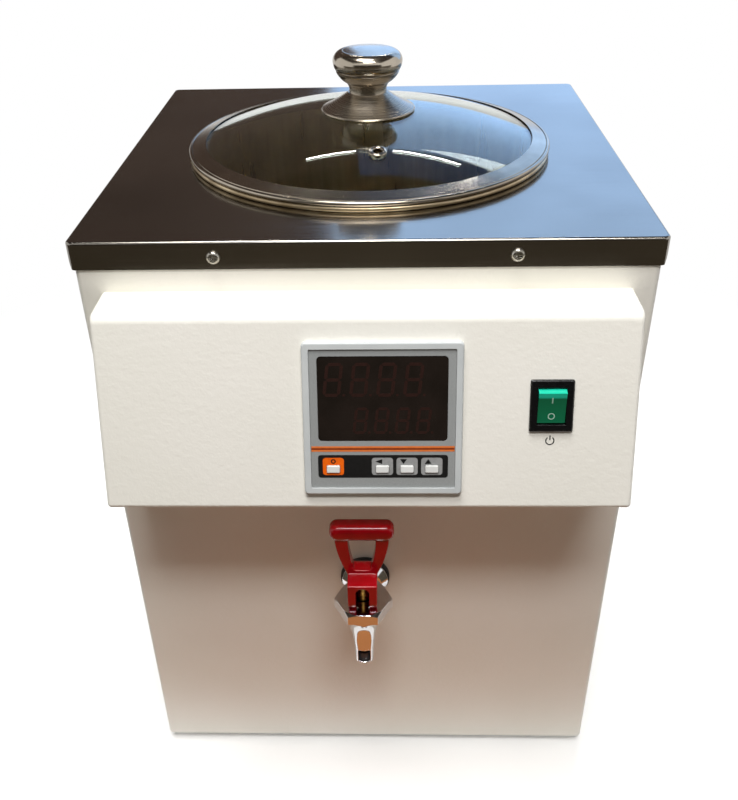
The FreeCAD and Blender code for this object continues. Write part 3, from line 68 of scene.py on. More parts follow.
# Floor and room, in metres and as strengths where 1 is white.
FLOOR_SIZE = 12
FLOOR_LIFT = 0.16
WHITE_FROM = (0.35, 0.9)
WORLD_LEVEL = 0.13

# The print on the controller's face, measured up from the bezel's lower edge.
KEYS = ("key_set", "key_shift", "key_down", "key_up")
BEZEL_SIZE = 96.0 * MM
FACEPLATE_SIZE = 87.4 * MM
STRIPE_WIDTH = FACEPLATE_SIZE - 0.6 * MM
STRIPE_UP = 29.5 * MM
STRIPE_HEIGHT = 3.5 * MM
STRIP_SIZE = (79.0 * MM, 14.8 * MM)
STRIP_UP = 18.2 * MM
PAD_SIZE = (12.9 * MM, 11.2 * MM)
PAD_CORNER = 1.8 * MM
KEY_HOLE = (8.5 * MM, 5.1 * MM)
KEY_HOLE_CORNER = 0.9 * MM
KEY_UP = 16.6 * MM
ARROW_SIZE = (4.2 * MM, 3.1 * MM)
ARROW_ASIDE = 2.2 * MM
ARROW_UP = 21.4 * MM
DOT_RADII = (1.5 * MM, 0.8 * MM)
DOT_UP = 21.5 * MM
PRINT_CORNER = 0.1 * MM
INK = 0.08 * MM

# The display's rows, in mm: name, digit's width and height, bar, pitch, first digit's x, row's y.
DIGIT_ROWS = (
    ("upper", 8.6, 19.0, 2.0, 16.0, -29.5, 12.0),
    ("lower", 6.6, 15.0, 1.7, 12.6, -13.2, -13.6),
)
DIGITS_IN_ROW = 4
DIGIT_INK = 0.03 * MM
POINT_SIZE = 1.6 * MM
POINT_CORNER = 0.75 * MM
POINT_SHARE = 0.62
POINT_GAP = 1.0

# The marks on the rocker, from the middle of the switch, and the sign under it.
MARK_ON_HALF = (0.35 * MM, 1.9 * MM)
MARK_ON_UP = 3.9 * MM
MARK_OFF_RADII = (2.1 * MM, 1.55 * MM)
MARK_OFF_DOWN = 6.6 * MM
MARK_INK = 0.05 * MM
MARK_LIFT = 0.02 * MM
ROCKER_CLEAR = 1 * MM
SIGN_DOWN = 23.25 * MM
SIGN_RADII = (2.8 * MM, 2.1 * MM)
SIGN_OPEN_ARC = (125, 415)
SIGN_STEM = (0.7 * MM, 3.0 * MM)
SIGN_STEM_UP = 1.9 * MM
SIGN_INK = 0.04 * MM
BARE_SHEET_DOWN = 22 * MM
RAY_START = 0.02

# Lever, spring and spout.
LEVER_VOXEL = 0.4 * MM
LEVER_SMOOTHING = 0.5
LEVER_PASSES = 6
SOFT_SHARP_ANGLE = 60
SPOUT_BORE = 4.8 * MM
SPOUT_RADIUS = 6.7 * MM
LIP_HEIGHT = 1.3 * MM
LIP_CLEAR = 0.02 * MM
LIP_SIDES = 12
LIP_TURNS = 48
PLUG_CLEAR = 0.1 * MM
PLUG_HEIGHT = 7.5 * MM
PLUG_UP = 0.6 * MM

# The cells through the spout's plug, in mm.
CELL_ROWS = (-3.0, -1.0, 1.0, 3.0)
CELL_FIELD = 4.1
CELL_HEIGHT = 1.3
CELL_CORNER = 0.2
HALF_RIB = 0.35

# Where the upright axes of the lid and of the tap stand.
LID_LOW, LID_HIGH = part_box("lid_rim_band")
LID_CENTRE = (LID_LOW + LID_HIGH) / 2
CUP_LOW, CUP_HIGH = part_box("tap_seat_cup")
TAP_CENTRE = (CUP_LOW + CUP_HIGH) / 2


# Shader building.

def colour(code):
    """A linear colour from a six-digit sRGB code."""
    parts = [int(code[i:i + 2], 16) / 255 for i in (0, 2, 4)]
    return [p / 12.92 if p <= 0.04045 else ((p + 0.055) / 1.055) ** 2.4 for p in parts] + [1.0]


def seen_level(nodes, links):
    """1 for what the camera, reflections and glass see, and 0 for light that falls on things."""
    path = nodes.new("ShaderNodeLightPath")
    level = path.outputs["Is Camera Ray"]
    for kind in ("Is Glossy Ray", "Is Transmission Ray"):
        either = nodes.new("ShaderNodeMath")
        either.operation = "MAXIMUM"
        links.new(level, either.inputs[0])
        links.new(path.outputs[kind], either.inputs[1])
        level = either.outputs[0]
    return level


class Finish:
    """A material with its Principled shader and short ways to add the nodes that vary it."""

    def __init__(self, name, base, **values):
        self.material = bpy.data.materials.new(name)
        self.material.use_nodes = True
        self.nodes = self.material.node_tree.nodes
        self.links = self.material.node_tree.links
        self.shader = self.nodes["Principled BSDF"]
        self.base = base
        self.shader.inputs["Base Color"].default_value = colour(base)
        for key, value in values.items():
            socket = key.replace("_", " ").title().replace("Ior", "IOR")
            self.shader.inputs[socket].default_value = value
        self.place = self.nodes.new("ShaderNodeTexCoord").outputs["Object"]

    def put(self, socket, value):
        """Sets a socket to a value, or links it where the value is a socket."""
        if isinstance(value, bpy.types.NodeSocket):
            self.links.new(value, socket)
        else:
            socket.default_value = value

    def node(self, kind, **inputs):
        """A new node with its inputs set or linked by their names."""
        made = self.nodes.new(kind)
        for key, value in inputs.items():
            self.put(made.inputs[key.replace("_", " ")], value)
        return made

    def stretched(self, scale):
        """Object coordinates scaled by a different amount along each axis."""
        return self.node("ShaderNodeMapping", Vector=self.place, Scale=scale).outputs["Vector"]

    def maths(self, operation, first, second):
        """One sum of two numbers or sockets."""
        made = self.node("ShaderNodeMath")
        made.operation = operation
        for socket, value in zip(made.inputs, (first, second)):
            self.put(socket, value)
        return made.outputs[0]

    def distance(self, centre):
        """The distance from an upright axis."""
        split = self.node("ShaderNodeSeparateXYZ", Vector=self.place)
        x = self.maths("SUBTRACT", split.outputs["X"], centre.x)
        y = self.maths("SUBTRACT", split.outputs["Y"], centre.y)
        flat = self.node("ShaderNodeCombineXYZ", X=x, Y=y)
        length = self.node("ShaderNodeVectorMath", Vector=flat.outputs[0])
        length.operation = "LENGTH"
        return length.outputs["Value"]

    def round_axis(self, centre, scale):
        """Coordinates that change only with the distance from an upright axis, and with height."""
        height = self.node("ShaderNodeSeparateXYZ", Vector=self.place).outputs["Z"]
        spread = self.maths("MULTIPLY", self.distance(centre), scale)
        rise = self.maths("MULTIPLY", height, scale)
        return self.node("ShaderNodeCombineXYZ", X=spread, Z=rise).outputs[0]

    def noise(self, scale, detail=2.0, place=None):
        """Noise over the object, or over other coordinates."""
        made = self.node("ShaderNodeTexNoise", Vector=place or self.place, Scale=scale, Detail=detail)
        return made.outputs["Fac"]

    def ramp(self, factor, low, high, start=0.3, end=0.7):
        """Maps start..end to low..high, for a number."""
        made = self.node("ShaderNodeMapRange", Value=factor, To_Min=low, To_Max=high)
        made.inputs["From Min"].default_value = start
        made.inputs["From Max"].default_value = end
        return made.outputs["Result"]

    def shade(self, factor, other):
        """The base colour varies towards another one by a factor."""
        mix = self.nodes.new("ShaderNodeMix")
        mix.data_type = "RGBA"
        mix.inputs[6].default_value = colour(self.base)
        mix.inputs[7].default_value = colour(other)
        self.links.new(factor, mix.inputs[0])
        self.links.new(mix.outputs[2], self.shader.inputs["Base Color"])
        return self

    def rough(self, factor, low, high):
        """The roughness varies from low to high by a factor."""
        self.links.new(self.ramp(factor, low, high), self.shader.inputs["Roughness"])
        return self

    def bump(self, height, distance, strength=1.0):
        """Adds a relief on top of the bumps and soft edges that are there."""
        before = self.shader.inputs["Normal"].links
        made = self.node("ShaderNodeBump", Height=height, Distance=distance, Strength=strength)
        if before:
            self.links.new(before[0].from_socket, made.inputs["Normal"])
        self.links.new(made.outputs["Normal"], self.shader.inputs["Normal"])
        return self

    def soft_edges(self, radius):
        """Rounds the shading of sharp edges, as a moulding or a light deburr does."""
        made = self.node("ShaderNodeBevel", Radius=radius)
        made.samples = 4
        self.links.new(made.outputs["Normal"], self.shader.inputs["Normal"])
        return self


# Finishes.

def powder_coat():
    """Cream structured powder coat: fine pimples over a slight orange peel."""
    finish = Finish("powder_coat", "f2eee5", roughness=0.45).soft_edges(0.6 * MM)
    grain = finish.noise(700, 3)
    finish.shade(finish.ramp(finish.noise(9, 3), 0, 1), "edeadf")
    finish.rough(grain, 0.36, 0.56)
    finish.bump(finish.noise(260, 2), 0.3 * MM, 0.5)
    return finish.bump(grain, 0.12 * MM, 0.55).material


def brushed_sheet(name, base, scale):
    """Brushed stainless sheet, with its lines along the axis of the smallest scale."""
    finish = Finish(name, base, metallic=1.0, roughness=0.25)
    lines = finish.noise(1.0, 3, finish.stretched(scale))
    finish.shade(finish.ramp(finish.noise(6, 3), 0, 1), "827d75")
    finish.rough(lines, 0.1, 0.2)
    return finish.bump(lines, 0.015 * MM, 0.3).material


def spun_steel(name, base, centre, low, high, depth=0.02):
    """Stainless steel turned or spun round an upright axis, with fine rings."""
    finish = Finish(name, base, metallic=1.0, roughness=low)
    rings = finish.noise(1.0, 2, finish.round_axis(centre, 2600))
    finish.shade(finish.ramp(finish.noise(30, 2), 0, 1), "91887a")
    finish.rough(rings, low, high)
    return finish.bump(rings, depth * MM, 0.15).material


def pot_steel():
    """The inside of a drawn pot, with the upright smears of its polishing."""
    finish = Finish("pot_steel", "bfae90", metallic=1.0, roughness=0.3)
    smears = finish.noise(1.0, 3, finish.stretched((60, 60, 6)))
    finish.shade(finish.ramp(smears, 0, 1), "8e7d62")
    finish.rough(smears, 0.24, 0.42)
    return finish.bump(finish.noise(40, 2), 0.15 * MM, 0.12).material


def chrome():
    """Bright chrome outside, and painted shade inside the spout's bore: its inner face is coloured near
    black.
    """
    finish = Finish("tap_chrome", "d9d9dc", metallic=1.0, roughness=0.06).soft_edges(0.5 * MM)
    away = finish.distance(TAP_CENTRE)
    # Painted shade: within the bore's radius the chrome's colour turns near black.
    finish.shade(finish.ramp(away, 0, 1, SPOUT_BORE + 0.5 * MM, SPOUT_BORE + 0.2 * MM), "060505")
    return finish.rough(finish.noise(220, 3), 0.03, 0.1).material


def plated(name, base, low=0.2, high=0.34):
    """Small zinc-plated or machined metal parts."""
    finish = Finish(name, base, metallic=1.0, roughness=low).soft_edges(0.3 * MM)
    finish.shade(finish.ramp(finish.noise(300, 3), 0, 1), "8d8778")
    return finish.rough(finish.noise(600, 2), low, high).material


def brass():
    """Turned brass, with its tool marks in level rings."""
    finish = Finish("brass", "b98f45", metallic=1.0, roughness=0.25)
    rings = finish.noise(1.0, 2, finish.stretched((90, 90, 3200)))
    finish.shade(finish.ramp(finish.noise(260, 3), 0, 1), "8f6428")
    return finish.rough(rings, 0.18, 0.34).bump(rings, 0.02 * MM, 0.4).material


def red_plastic():
    """Deep red moulding with a high gloss and the faint flow of the moulding in it."""
    finish = Finish("red_plastic", "a0000e", roughness=0.14, specular_ior_level=0.36)
    finish.shade(finish.ramp(finish.noise(70, 3), 0, 1), "8c000b")
    finish.rough(finish.noise(420, 3), 0.1, 0.2)
    return finish.bump(finish.noise(110, 2), 0.12 * MM, 0.12).material


def moulded(name, base, other, low=0.35, high=0.5, grain=1500, edge=0.3):
    """Plastic with a fine moulded grain."""
    finish = Finish(name, base, roughness=low).soft_edges(edge * MM)
    finish.shade(finish.ramp(finish.noise(45, 3), 0, 1), other)
    finish.rough(finish.noise(grain / 3, 2), low, high)
    return finish.bump(finish.noise(grain, 2), 0.03 * MM, 0.4).material


def aluminium_print():
    """The faceplate's film: metallic grey ink with a fine sparkle."""
    finish = Finish("faceplate_film", "a9abaa", metallic=0.2, roughness=0.42)
    sparkle = finish.noise(2600, 2)
    finish.shade(finish.ramp(sparkle, 0, 1), "989b9a")
    return finish.rough(sparkle, 0.34, 0.5).bump(sparkle, 0.01 * MM, 0.5).material


def smoked_window():
    """Glossy tinted window, black with a faint brown in it."""
    finish = Finish("smoked_window", "1b1612", roughness=0.14)
    finish.shade(finish.ramp(finish.noise(60, 2), 0, 1), "231c18")
    return finish.rough(finish.noise(500, 2), 0.1, 0.2).material


def ink(name, base, other, low=0.35, high=0.5):
    """Printed ink that varies a little between two colours."""
    finish = Finish(name, base, roughness=low)
    finish.shade(finish.ramp(finish.noise(500, 3), 0, 1), other)
    return finish.rough(finish.noise(900, 2), low, high).material


def green_lens():
    """Green plastic with painted light at its upper end, which is coloured a brighter turquoise where
    light comes in.
    """
    finish = Finish("green_lens", "046a45", roughness=0.12, coat_weight=0.5)
    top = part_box("switch_rocker")[1].z
    height = finish.node("ShaderNodeSeparateXYZ", Vector=finish.place).outputs["Z"]
    # Painted light: the top few millimetres of the rocker are coloured a bright turquoise.
    finish.shade(finish.ramp(height, 0, 1, top - 5 * MM, top - 3.5 * MM), "1fc7a4")
    finish.rough(finish.noise(300, 2), 0.1, 0.2)
    return finish.bump(finish.noise(160, 2), 0.1 * MM, 0.2).material


def rubber():
    """Dull black rubber."""
    finish = Finish("rubber", "161616", roughness=0.6).soft_edges(0.4 * MM)
    finish.shade(finish.ramp(finish.noise(120, 3), 0, 1), "232221")
    finish.rough(finish.noise(400, 3), 0.5, 0.75)
    return finish.bump(finish.noise(900, 3), 0.05 * MM, 0.5).material


def lid_glass():
    """Clear toughened glass with a trace of green and the film that wax vapour leaves."""
    finish = Finish("lid_glass", "e3ebe4", roughness=0.0, transmission_weight=1.0, ior=1.46)
    film = finish.noise(25, 4)
    finish.shade(finish.ramp(film, 0, 1), "d6dfd3")
    return finish.rough(film, 0.0, 0.02).material


def wool():
    """Mineral wool with its fibres laid level."""
    finish = Finish("insulation_wool", "cfc8b4", roughness=0.95)
    fibre = finish.noise(1.0, 5, finish.stretched((160, 160, 900)))
    finish.shade(finish.ramp(fibre, 0, 1), "a89f88")
    return finish.bump(fibre, 1.2 * MM, 0.7).material


def circuit_board():
    """Green solder mask over the board's tracks."""
    finish = Finish("circuit_board", "0f5a2c", roughness=0.4)
    finish.shade(finish.ramp(finish.noise(350, 4), 0, 1), "0b4421")
    return finish.bump(finish.noise(900, 2), 0.04 * MM, 0.4).material


def dress(piece, finish, sharp=32):
    """Sets a piece's only finish, and shades its round faces smooth."""
    piece.data.materials.clear()
    piece.data.materials.append(finish)
    piece.data.shade_smooth()
    piece.data.set_sharp_from_angle(angle=math.radians(sharp))
    return piece


def paint_nodes():
    """Gives every carried-over node its finish."""
    steel_screw = plated("screw_steel", "b9b6b0")
    black = moulded("black_plastic", "0d0d0e", "171718")
    spun = spun_steel("lid_steel", "b5ab9c", LID_CENTRE, 0.12, 0.24)
    finishes = {
        powder_coat(): ("cabinet_shell", "control_box", "base_plate", "rear_panel"),
        brushed_sheet("pan_steel", "9d9890", (9, 1500, 1500)): ("top_pan",),
        pot_steel(): ("tank", "tank_floor", "tank_outlet"),
        spun: ("lid_rim_band", "lid_knob_cap", "steam_vent"),
        spun_steel("satin_steel", "b0a595", LID_CENTRE, 0.2, 0.34, 0.03): ("lid_knob", "lid_knob_base"),
        chrome(): ("tap_body", "tap_bonnet"),
        brass(): ("tap_stem", "tap_mounting_nut", "temperature_probe", "switch_terminals"),
        steel_screw: (
            "pan_screws", "rear_panel_screws", "control_box_screws", "base_screws",
            "foot_screws", "inlet_screws", "lid_knob_screw", "lid_knob_washer",
            "tap_lever_pin", "controller_clamps", "heater_screw", "tap_spring",
        ),
        plated("heater_sheath", "8d8a86", 0.3, 0.45): ("heater_band",),
        plated("sink_aluminium", "b9bbbd", 0.3, 0.45): ("relay_heat_sink",),
        red_plastic(): ("tap_lever",),
        moulded("bezel_plastic", "c9cccb", "bfc3c3", 0.4, 0.52): ("controller_bezel",),
        aluminium_print(): ("controller_faceplate",),
        smoked_window(): ("controller_window",),
        moulded("key_plastic", "e9e9e6", "dcdcd8", 0.3, 0.42, 2200, 0.4): KEYS,
        ink("display_block", "2a1715", "1d100e"): ("digit_modules",),
        circuit_board(): ("display_board",),
        black: (
            "controller_case", "key_switches", "power_inlet",
            "fuse_holder", "terminal_block", "overheat_thermostat",
        ),
        moulded("switch_black", "0b0b0c", "121214", 0.16, 0.28): ("switch_housing",),
        moulded("relay_grey", "c4c2ba", "b3b1a9"): ("solid_state_relay",),
        green_lens(): ("switch_rocker",),
        rubber(): ("rubber_feet", "tap_wall_washer"),
        moulded("silicone", "a8482c", "8f3a22", 0.45, 0.6): ("tap_gasket", "tap_seat_cup"),
        lid_glass(): ("lid_glass",),
        wool(): ("insulation_jacket", "insulation_base"),
    }
    for finish, names in finishes.items():
        for name in names:
            dress(NODES[name], finish)


# Flat outlines, as lists of points in a plane.

def rounded(width, height, radius, x=0.0, y=0.0, steps=6):
    """A rectangle with round corners."""
    points = []
    for quarter, (sx, sy) in enumerate(((1, 1), (-1, 1), (-1, -1), (1, -1))):
        cx, cy = x + sx * (width / 2 - radius), y + sy * (height / 2 - radius)
        for step in range(steps + 1):
            angle = math.pi / 2 * (quarter + step / steps)
            points.append((cx + radius * math.cos(angle), cy + radius * math.sin(angle)))
    return points


def arc(radius, start, end, x=0.0, y=0.0, steps=28):
    """Points along a circle, from one angle to another, in degrees."""
    angles = [math.radians(start + (end - start) * i / steps) for i in range(steps + 1)]
    return [(x + radius * math.cos(a), y + radius * math.sin(a)) for a in angles]


def ring_arc(outer, inner, start, end, x=0.0, y=0.0):
    """A band between two radii, from one angle to another, in degrees."""
    return arc(outer, start, end, x, y) + arc(inner, start, end, x, y)[::-1]


def triangle(width, height, direction, x=0.0, y=0.0):
    """A solid triangle that points left, down or up."""
    w, h = width / 2, height / 2
    shape = {
        "left": ((-w, 0), (w, -h), (w, h)),
        "up": ((0, h), (-w, -h), (w, -h)),
        "down": ((0, -h), (w, h), (-w, h)),
    }
    return [(x + a, y + b) for a, b in shape[direction]]


def segments(width, height, bar, x, y, lean=0.12, gap_share=0.08):
    """The seven bars of one display digit, leaning to the right."""
    w, h, gap = width / 2, height / 2, bar * gap_share

    def lie(cx, cy, length):
        half = length / 2 - gap
        tip = bar / 2
        upper = ((-half, 0), (-half + tip, tip), (half - tip, tip))
        lower = ((half, 0), (half - tip, -tip), (-half + tip, -tip))
        return [(cx + a, cy + b) for a, b in upper + lower]

    def stand(cx, cy, length):
        return [(cx + (b - cy), cy + (a - cx)) for a, b in lie(cx, cy, length)]

    bars = [lie(0, level, width) for level in (h, 0, -h)]
    bars += [stand(side * w, level * h / 2, h) for side in (-1, 1) for level in (-1, 1)]
    return [[(x + a + lean * b, y + b) for a, b in loop] for loop in bars]


# New pieces, and places on the leaning face.

def add_object(name, data):
    """A new object of the scene, from a mesh, curve, light or camera."""
    made = bpy.data.objects.new(name, data)
    bpy.context.scene.collection.objects.link(made)
    return made


def worked_out(source):
    """The mesh that an object shows once its curve or modifiers are worked out."""
    bpy.context.view_layer.update()
    return bpy.data.meshes.new_from_object(source.evaluated_get(bpy.context.evaluated_depsgraph_get()))


def flat_piece(name, loops, matrix, thickness, finish, body):
    """Fills outlines, with any inner ones as holes, to a thin piece whose back is on the plane."""
    curve = bpy.data.curves.new(name, "CURVE")
    curve.dimensions = "2D"
    curve.fill_mode = "BOTH"
    curve.extrude = thickness / 2
    for loop in loops:
        spline = curve.splines.new("POLY")
        spline.points.add(len(loop) - 1)
        for point, (x, y) in zip(spline.points, loop):
            point.co = (x, y, 0, 1)
        spline.use_cyclic_u = True
    drawn = add_object(name, curve)
    mesh = worked_out(drawn)
    bpy.data.objects.remove(drawn)
    mesh.transform(matrix @ Matrix.Translation((0, 0, thickness / 2)))
    piece = dress(add_object(name, mesh), finish)
    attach(piece, body)
    return piece


def joint_axis(name):
    """The direction of one of the record's joints."""
    return Vector(next(j["axis"] for j in frame["joints"] if j["name"] == name))


def face_matrix():
    """A place whose X is to the right, Y up the leaning face and Z out of it."""
    outward = -joint_axis("key_set_press")
    across = Vector((1, 0, 0))
    upward = outward.cross(across)
    return Matrix((across, upward, outward)).transposed().to_4x4()


FACE = face_matrix()


def front_of(node, beyond=0.0):
    """The middle of a node's front plane on the leaning face, and a little beyond it."""
    low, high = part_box(node)
    flat = FACE.inverted()
    out = max((flat @ vertex.co).z for vertex in NODES[node].data.vertices)
    middle = flat @ ((low + high) / 2)
    return FACE @ Matrix.Translation((middle.x, middle.y, out + beyond))


def lay_on(piece, node, lift):
    """Drops every point of a thin piece along the face onto a node's curved surface."""
    target = NODES[node]
    inward = joint_axis("key_set_press")
    flat = FACE.inverted()
    low = min((flat @ vertex.co).z for vertex in piece.data.vertices)
    for vertex in piece.data.vertices:
        depth = (flat @ vertex.co).z - low
        hit, spot, _, _ = target.ray_cast(vertex.co - inward * RAY_START, inward)
        if hit:
            vertex.co = spot - inward * (lift + depth)


def sheet_behind(node, point):
    """The point of a node's outer sheet that lies straight in from the switch's front."""
    inward = joint_axis("key_set_press")
    aside = point - FACE.to_3x3() @ Vector((0, BARE_SHEET_DOWN, 0))
    hit, spot, _, _ = NODES[node].ray_cast(aside - inward * RAY_START, inward)
    offset = (spot - aside).dot(inward) if hit else 0.0
    return point + inward * offset


# The controller's print.

def controller_print():
    """The stripe, and the key strip with its pads and signs."""
    plate = front_of("controller_faceplate")
    bottom = -BEZEL_SIZE / 2
    black = ink("black_ink", "0b0b0c", "131313")
    orange = ink("orange_ink", "e07a3a", "d6702f")
    grey = ink("grey_ink", "9d9d9c", "8f8f8e")
    bright = ink("key_orange", "f56a00", "e85f00")
    rust = ink("rust_ink", "8a3510", "7a2c0c")
    bar = STRIPE_HEIGHT / 3
    for side, level, finish in (("low", -bar, orange), ("high", bar, orange), ("middle", 0, rust)):
        loop = rounded(STRIPE_WIDTH, bar, PRINT_CORNER, 0, bottom + STRIPE_UP + level)
        flat_piece(f"stripe_{side}", [loop], plate, INK, finish, "cabinet")

    centre = plate.translation.x
    spots = {key: sum(corner.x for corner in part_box(key)) / 2 - centre for key in KEYS}
    holes = {key: rounded(*KEY_HOLE, KEY_HOLE_CORNER, x, bottom + KEY_UP) for key, x in spots.items()}
    strip = rounded(*STRIP_SIZE, PAD_CORNER, 0, bottom + STRIP_UP)
    flat_piece("key_strip", [strip, *holes.values()], plate, INK, black, "cabinet")
    on_strip = plate @ Matrix.Translation((0, 0, INK))
    on_pad = on_strip @ Matrix.Translation((0, 0, INK))
    for key, x in spots.items():
        loops = [rounded(*PAD_SIZE, PAD_CORNER, x, bottom + STRIP_UP), holes[key]]
        flat_piece(f"{key}_pad", loops, on_strip, INK, bright if key == "key_set" else grey, "cabinet")
    for key, direction in (("key_shift", "left"), ("key_down", "down"), ("key_up", "up")):
        arrow = triangle(*ARROW_SIZE, direction, spots[key] - ARROW_ASIDE, bottom + ARROW_UP)
        flat_piece(f"{key}_sign", [arrow], on_pad, INK, black, "cabinet")
    dot = ring_arc(*DOT_RADII, 0, 360, spots["key_set"], bottom + DOT_UP)
    flat_piece("key_set_sign", [dot], on_pad, INK, black, "cabinet")


def display_digits():
    """Unlit seven-bar digits with their points, four large over four smaller."""
    window = front_of("controller_window")
    dark = ink("unlit_digit", "2a1a16", "2f1d19", 0.14, 0.2)
    for row, width, height, bar, pitch, first, y in DIGIT_ROWS:
        loops = []
        for place in range(DIGITS_IN_ROW):
            x = (first + pitch * place) * MM
            loops += segments(width * MM, height * MM, bar * MM, x, y * MM)
            aside, foot = (width * POINT_SHARE + POINT_GAP) * MM, (y - height / 2) * MM
            loops.append(rounded(POINT_SIZE, POINT_SIZE, POINT_CORNER, x + aside, foot))
        flat_piece(f"{row}_digits", loops, window, DIGIT_INK, dark, "cabinet")


# The switch's marks.

def switch_marks():
    """I and O on the rocker."""
    place = front_of("switch_rocker", ROCKER_CLEAR)
    place.translation.x = front_of("switch_housing").translation.x
    white = ink("mark_white", "b9d8c8", "9cc4b0")
    w, h = MARK_ON_HALF
    line = [(x, y + MARK_ON_UP) for x, y in ((-w, h), (w, h), (w, -h), (-w, -h))]
    ring = ring_arc(*MARK_OFF_RADII, 0, 360, 0, -MARK_OFF_DOWN)
    for name, loop in (("mark_on", line), ("mark_off", ring)):
        piece = flat_piece(name, [loop], place, MARK_INK, white, "power_rocker")
        lay_on(piece, "switch_rocker", MARK_LIFT)


def power_sign():
    """A plain power sign printed under the switch."""
    place = front_of("switch_housing")
    place.translation = sheet_behind("control_box", place.translation)
    black = bpy.data.materials["black_ink"]
    ring = ring_arc(*SIGN_RADII, *SIGN_OPEN_ARC, 0, -SIGN_DOWN)
    stem = rounded(*SIGN_STEM, PRINT_CORNER, 0, SIGN_STEM_UP - SIGN_DOWN)
    for name, loop in (("sign_ring", ring), ("sign_stem", stem)):
        flat_piece(name, [loop], place, SIGN_INK, black, "cabinet")


# The lever, moulded in one piece with soft edges.

def soft_lever():
    """The lever's solid with the small rounded edges that a moulding has."""
    source = NODES["tap_lever"]
    piece = add_object("moulded_lever", source.data.copy())
    remesh = piece.modifiers.new("even", "REMESH")
    remesh.mode = "VOXEL"
    remesh.voxel_size = LEVER_VOXEL
    smooth = piece.modifiers.new("soften", "CORRECTIVE_SMOOTH")
    smooth.smooth_type = "LENGTH_WEIGHTED"
    smooth.factor = LEVER_SMOOTHING
    smooth.iterations = LEVER_PASSES
    smooth.use_only_smooth = True
    piece.data = worked_out(piece)
    piece.modifiers.clear()
    dress(piece, source.data.materials[0], SOFT_SHARP_ANGLE)
    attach(piece, "lever")
    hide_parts("tap_lever")


# The spring over the valve.

def valve_spring():
    """The coil of the spring's solid, as a copy with its own mesh in place of the hidden spring."""
    source = NODES["tap_spring"]
    piece = dress(add_object("valve_spring", source.data.copy()), source.data.materials[0])
    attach(piece, "cabinet")
    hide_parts("tap_spring")
    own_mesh(piece)


# The spout's mouth.

def spout_tip():
    """The height of the spout's lower end."""
    return min(vertex.co.z for vertex in NODES["tap_body"].data.vertices)


def spout_lip():
    """The rolled ring that closes the spout's cut-open front at its tip."""
    half, middle = (SPOUT_RADIUS - SPOUT_BORE) / 2, (SPOUT_RADIUS + SPOUT_BORE) / 2
    profile = []
    for i in range(LIP_SIDES):
        angle = 2 * math.pi * i / LIP_SIDES
        radius = middle + (half - LIP_CLEAR) * math.cos(angle)
        profile.append((radius, LIP_HEIGHT / 2 * (1 + math.sin(angle))))
    foot = Vector((TAP_CENTRE.x, TAP_CENTRE.y, spout_tip() + LIP_CLEAR))
    grid = bmesh.new()
    rings = []
    for i in range(LIP_TURNS):
        turn = 2 * math.pi * i / LIP_TURNS
        across = Vector((math.cos(turn), math.sin(turn), 0))
        rings.append([grid.verts.new(foot + across * r + Vector((0, 0, z))) for r, z in profile])
    for i, ring in enumerate(rings):
        after = rings[(i + 1) % LIP_TURNS]
        for j in range(LIP_SIDES):
            k = (j + 1) % LIP_SIDES
            grid.faces.new((ring[j], after[j], after[k], ring[k]))
    bmesh.ops.recalc_face_normals(grid, faces=grid.faces)
    mesh = bpy.data.meshes.new("spout_lip")
    grid.to_mesh(mesh)
    grid.free()
    piece = dress(add_object("spout_lip", mesh), bpy.data.materials["tap_chrome"], SOFT_SHARP_ANGLE)
    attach(piece, "cabinet")


def spout_insert():
    """The black flow straightener in the mouth: a short plug with rows of cells, a guessed part whose
    black also stands in for the shade inside the mouth.
    """
    outline = arc(SPOUT_BORE - PLUG_CLEAR, 0, 360)
    cells = []
    for row in CELL_ROWS:
        reach = math.sqrt(CELL_FIELD ** 2 - (abs(row) + CELL_HEIGHT / 2) ** 2)
        for side in (-1, 1):
            middle = side * (HALF_RIB + reach) / 2 * MM
            width = (reach - HALF_RIB) * MM
            cells.append(rounded(width, CELL_HEIGHT * MM, CELL_CORNER * MM, middle, row * MM, 2))
    foot = Matrix.Translation((TAP_CENTRE.x, TAP_CENTRE.y, spout_tip() + PLUG_UP))
    # The plug's black is partly its own colour and partly stands in for the shade inside the spout's
    # mouth.
    plastic = bpy.data.materials["black_plastic"]
    flat_piece("spout_insert", [outline, *cells], foot, PLUG_HEIGHT, plastic, "cabinet")


# Floor, light and camera.

def board(name, size, at, look_at, material):
    """A flat stage board that faces a point."""
    mesh = bpy.data.meshes.new(name)
    w, h = size[0] / 2, size[1] / 2
    mesh.from_pydata([(-w, -h, 0), (w, -h, 0), (w, h, 0), (-w, h, 0)], [], [(0, 1, 2, 3)])
    mesh.materials.append(material)
    made = add_object(name, mesh)
    made.location = at
    made.rotation_euler = (Vector(look_at) - Vector(at)).to_track_quat("Z", "Y").to_euler()
    return made


def floor():
    """A plain pale floor that the camera and reflections see as white a short way from the object."""
    finish = Finish("floor", "f4f3f1", roughness=0.8)
    finish.shade(finish.ramp(finish.noise(3, 2), 0, 1), "f1f0ee")
    seen = seen_level(finish.nodes, finish.links)
    glow = finish.node("ShaderNodeEmission", Strength=finish.maths("MULTIPLY", seen, FLOOR_LIFT))
    near = finish.nodes.new("ShaderNodeAddShader")
    finish.links.new(finish.shader.outputs[0], near.inputs[0])
    finish.links.new(glow.outputs[0], near.inputs[1])
    far = finish.ramp(finish.distance(Vector((0, 0, 0))), 0, 1, *WHITE_FROM)
    whole = finish.node("ShaderNodeMixShader", Fac=finish.maths("MULTIPLY", seen, far))
    finish.links.new(near.outputs[0], whole.inputs[1])
    finish.links.new(finish.node("ShaderNodeEmission").outputs[0], whole.inputs[2])
    finish.links.new(whole.outputs[0], finish.nodes["Material Output"].inputs["Surface"])
    board("floor", (FLOOR_SIZE, FLOOR_SIZE), (0, 0, 0), (0, 0, 1), finish.material)


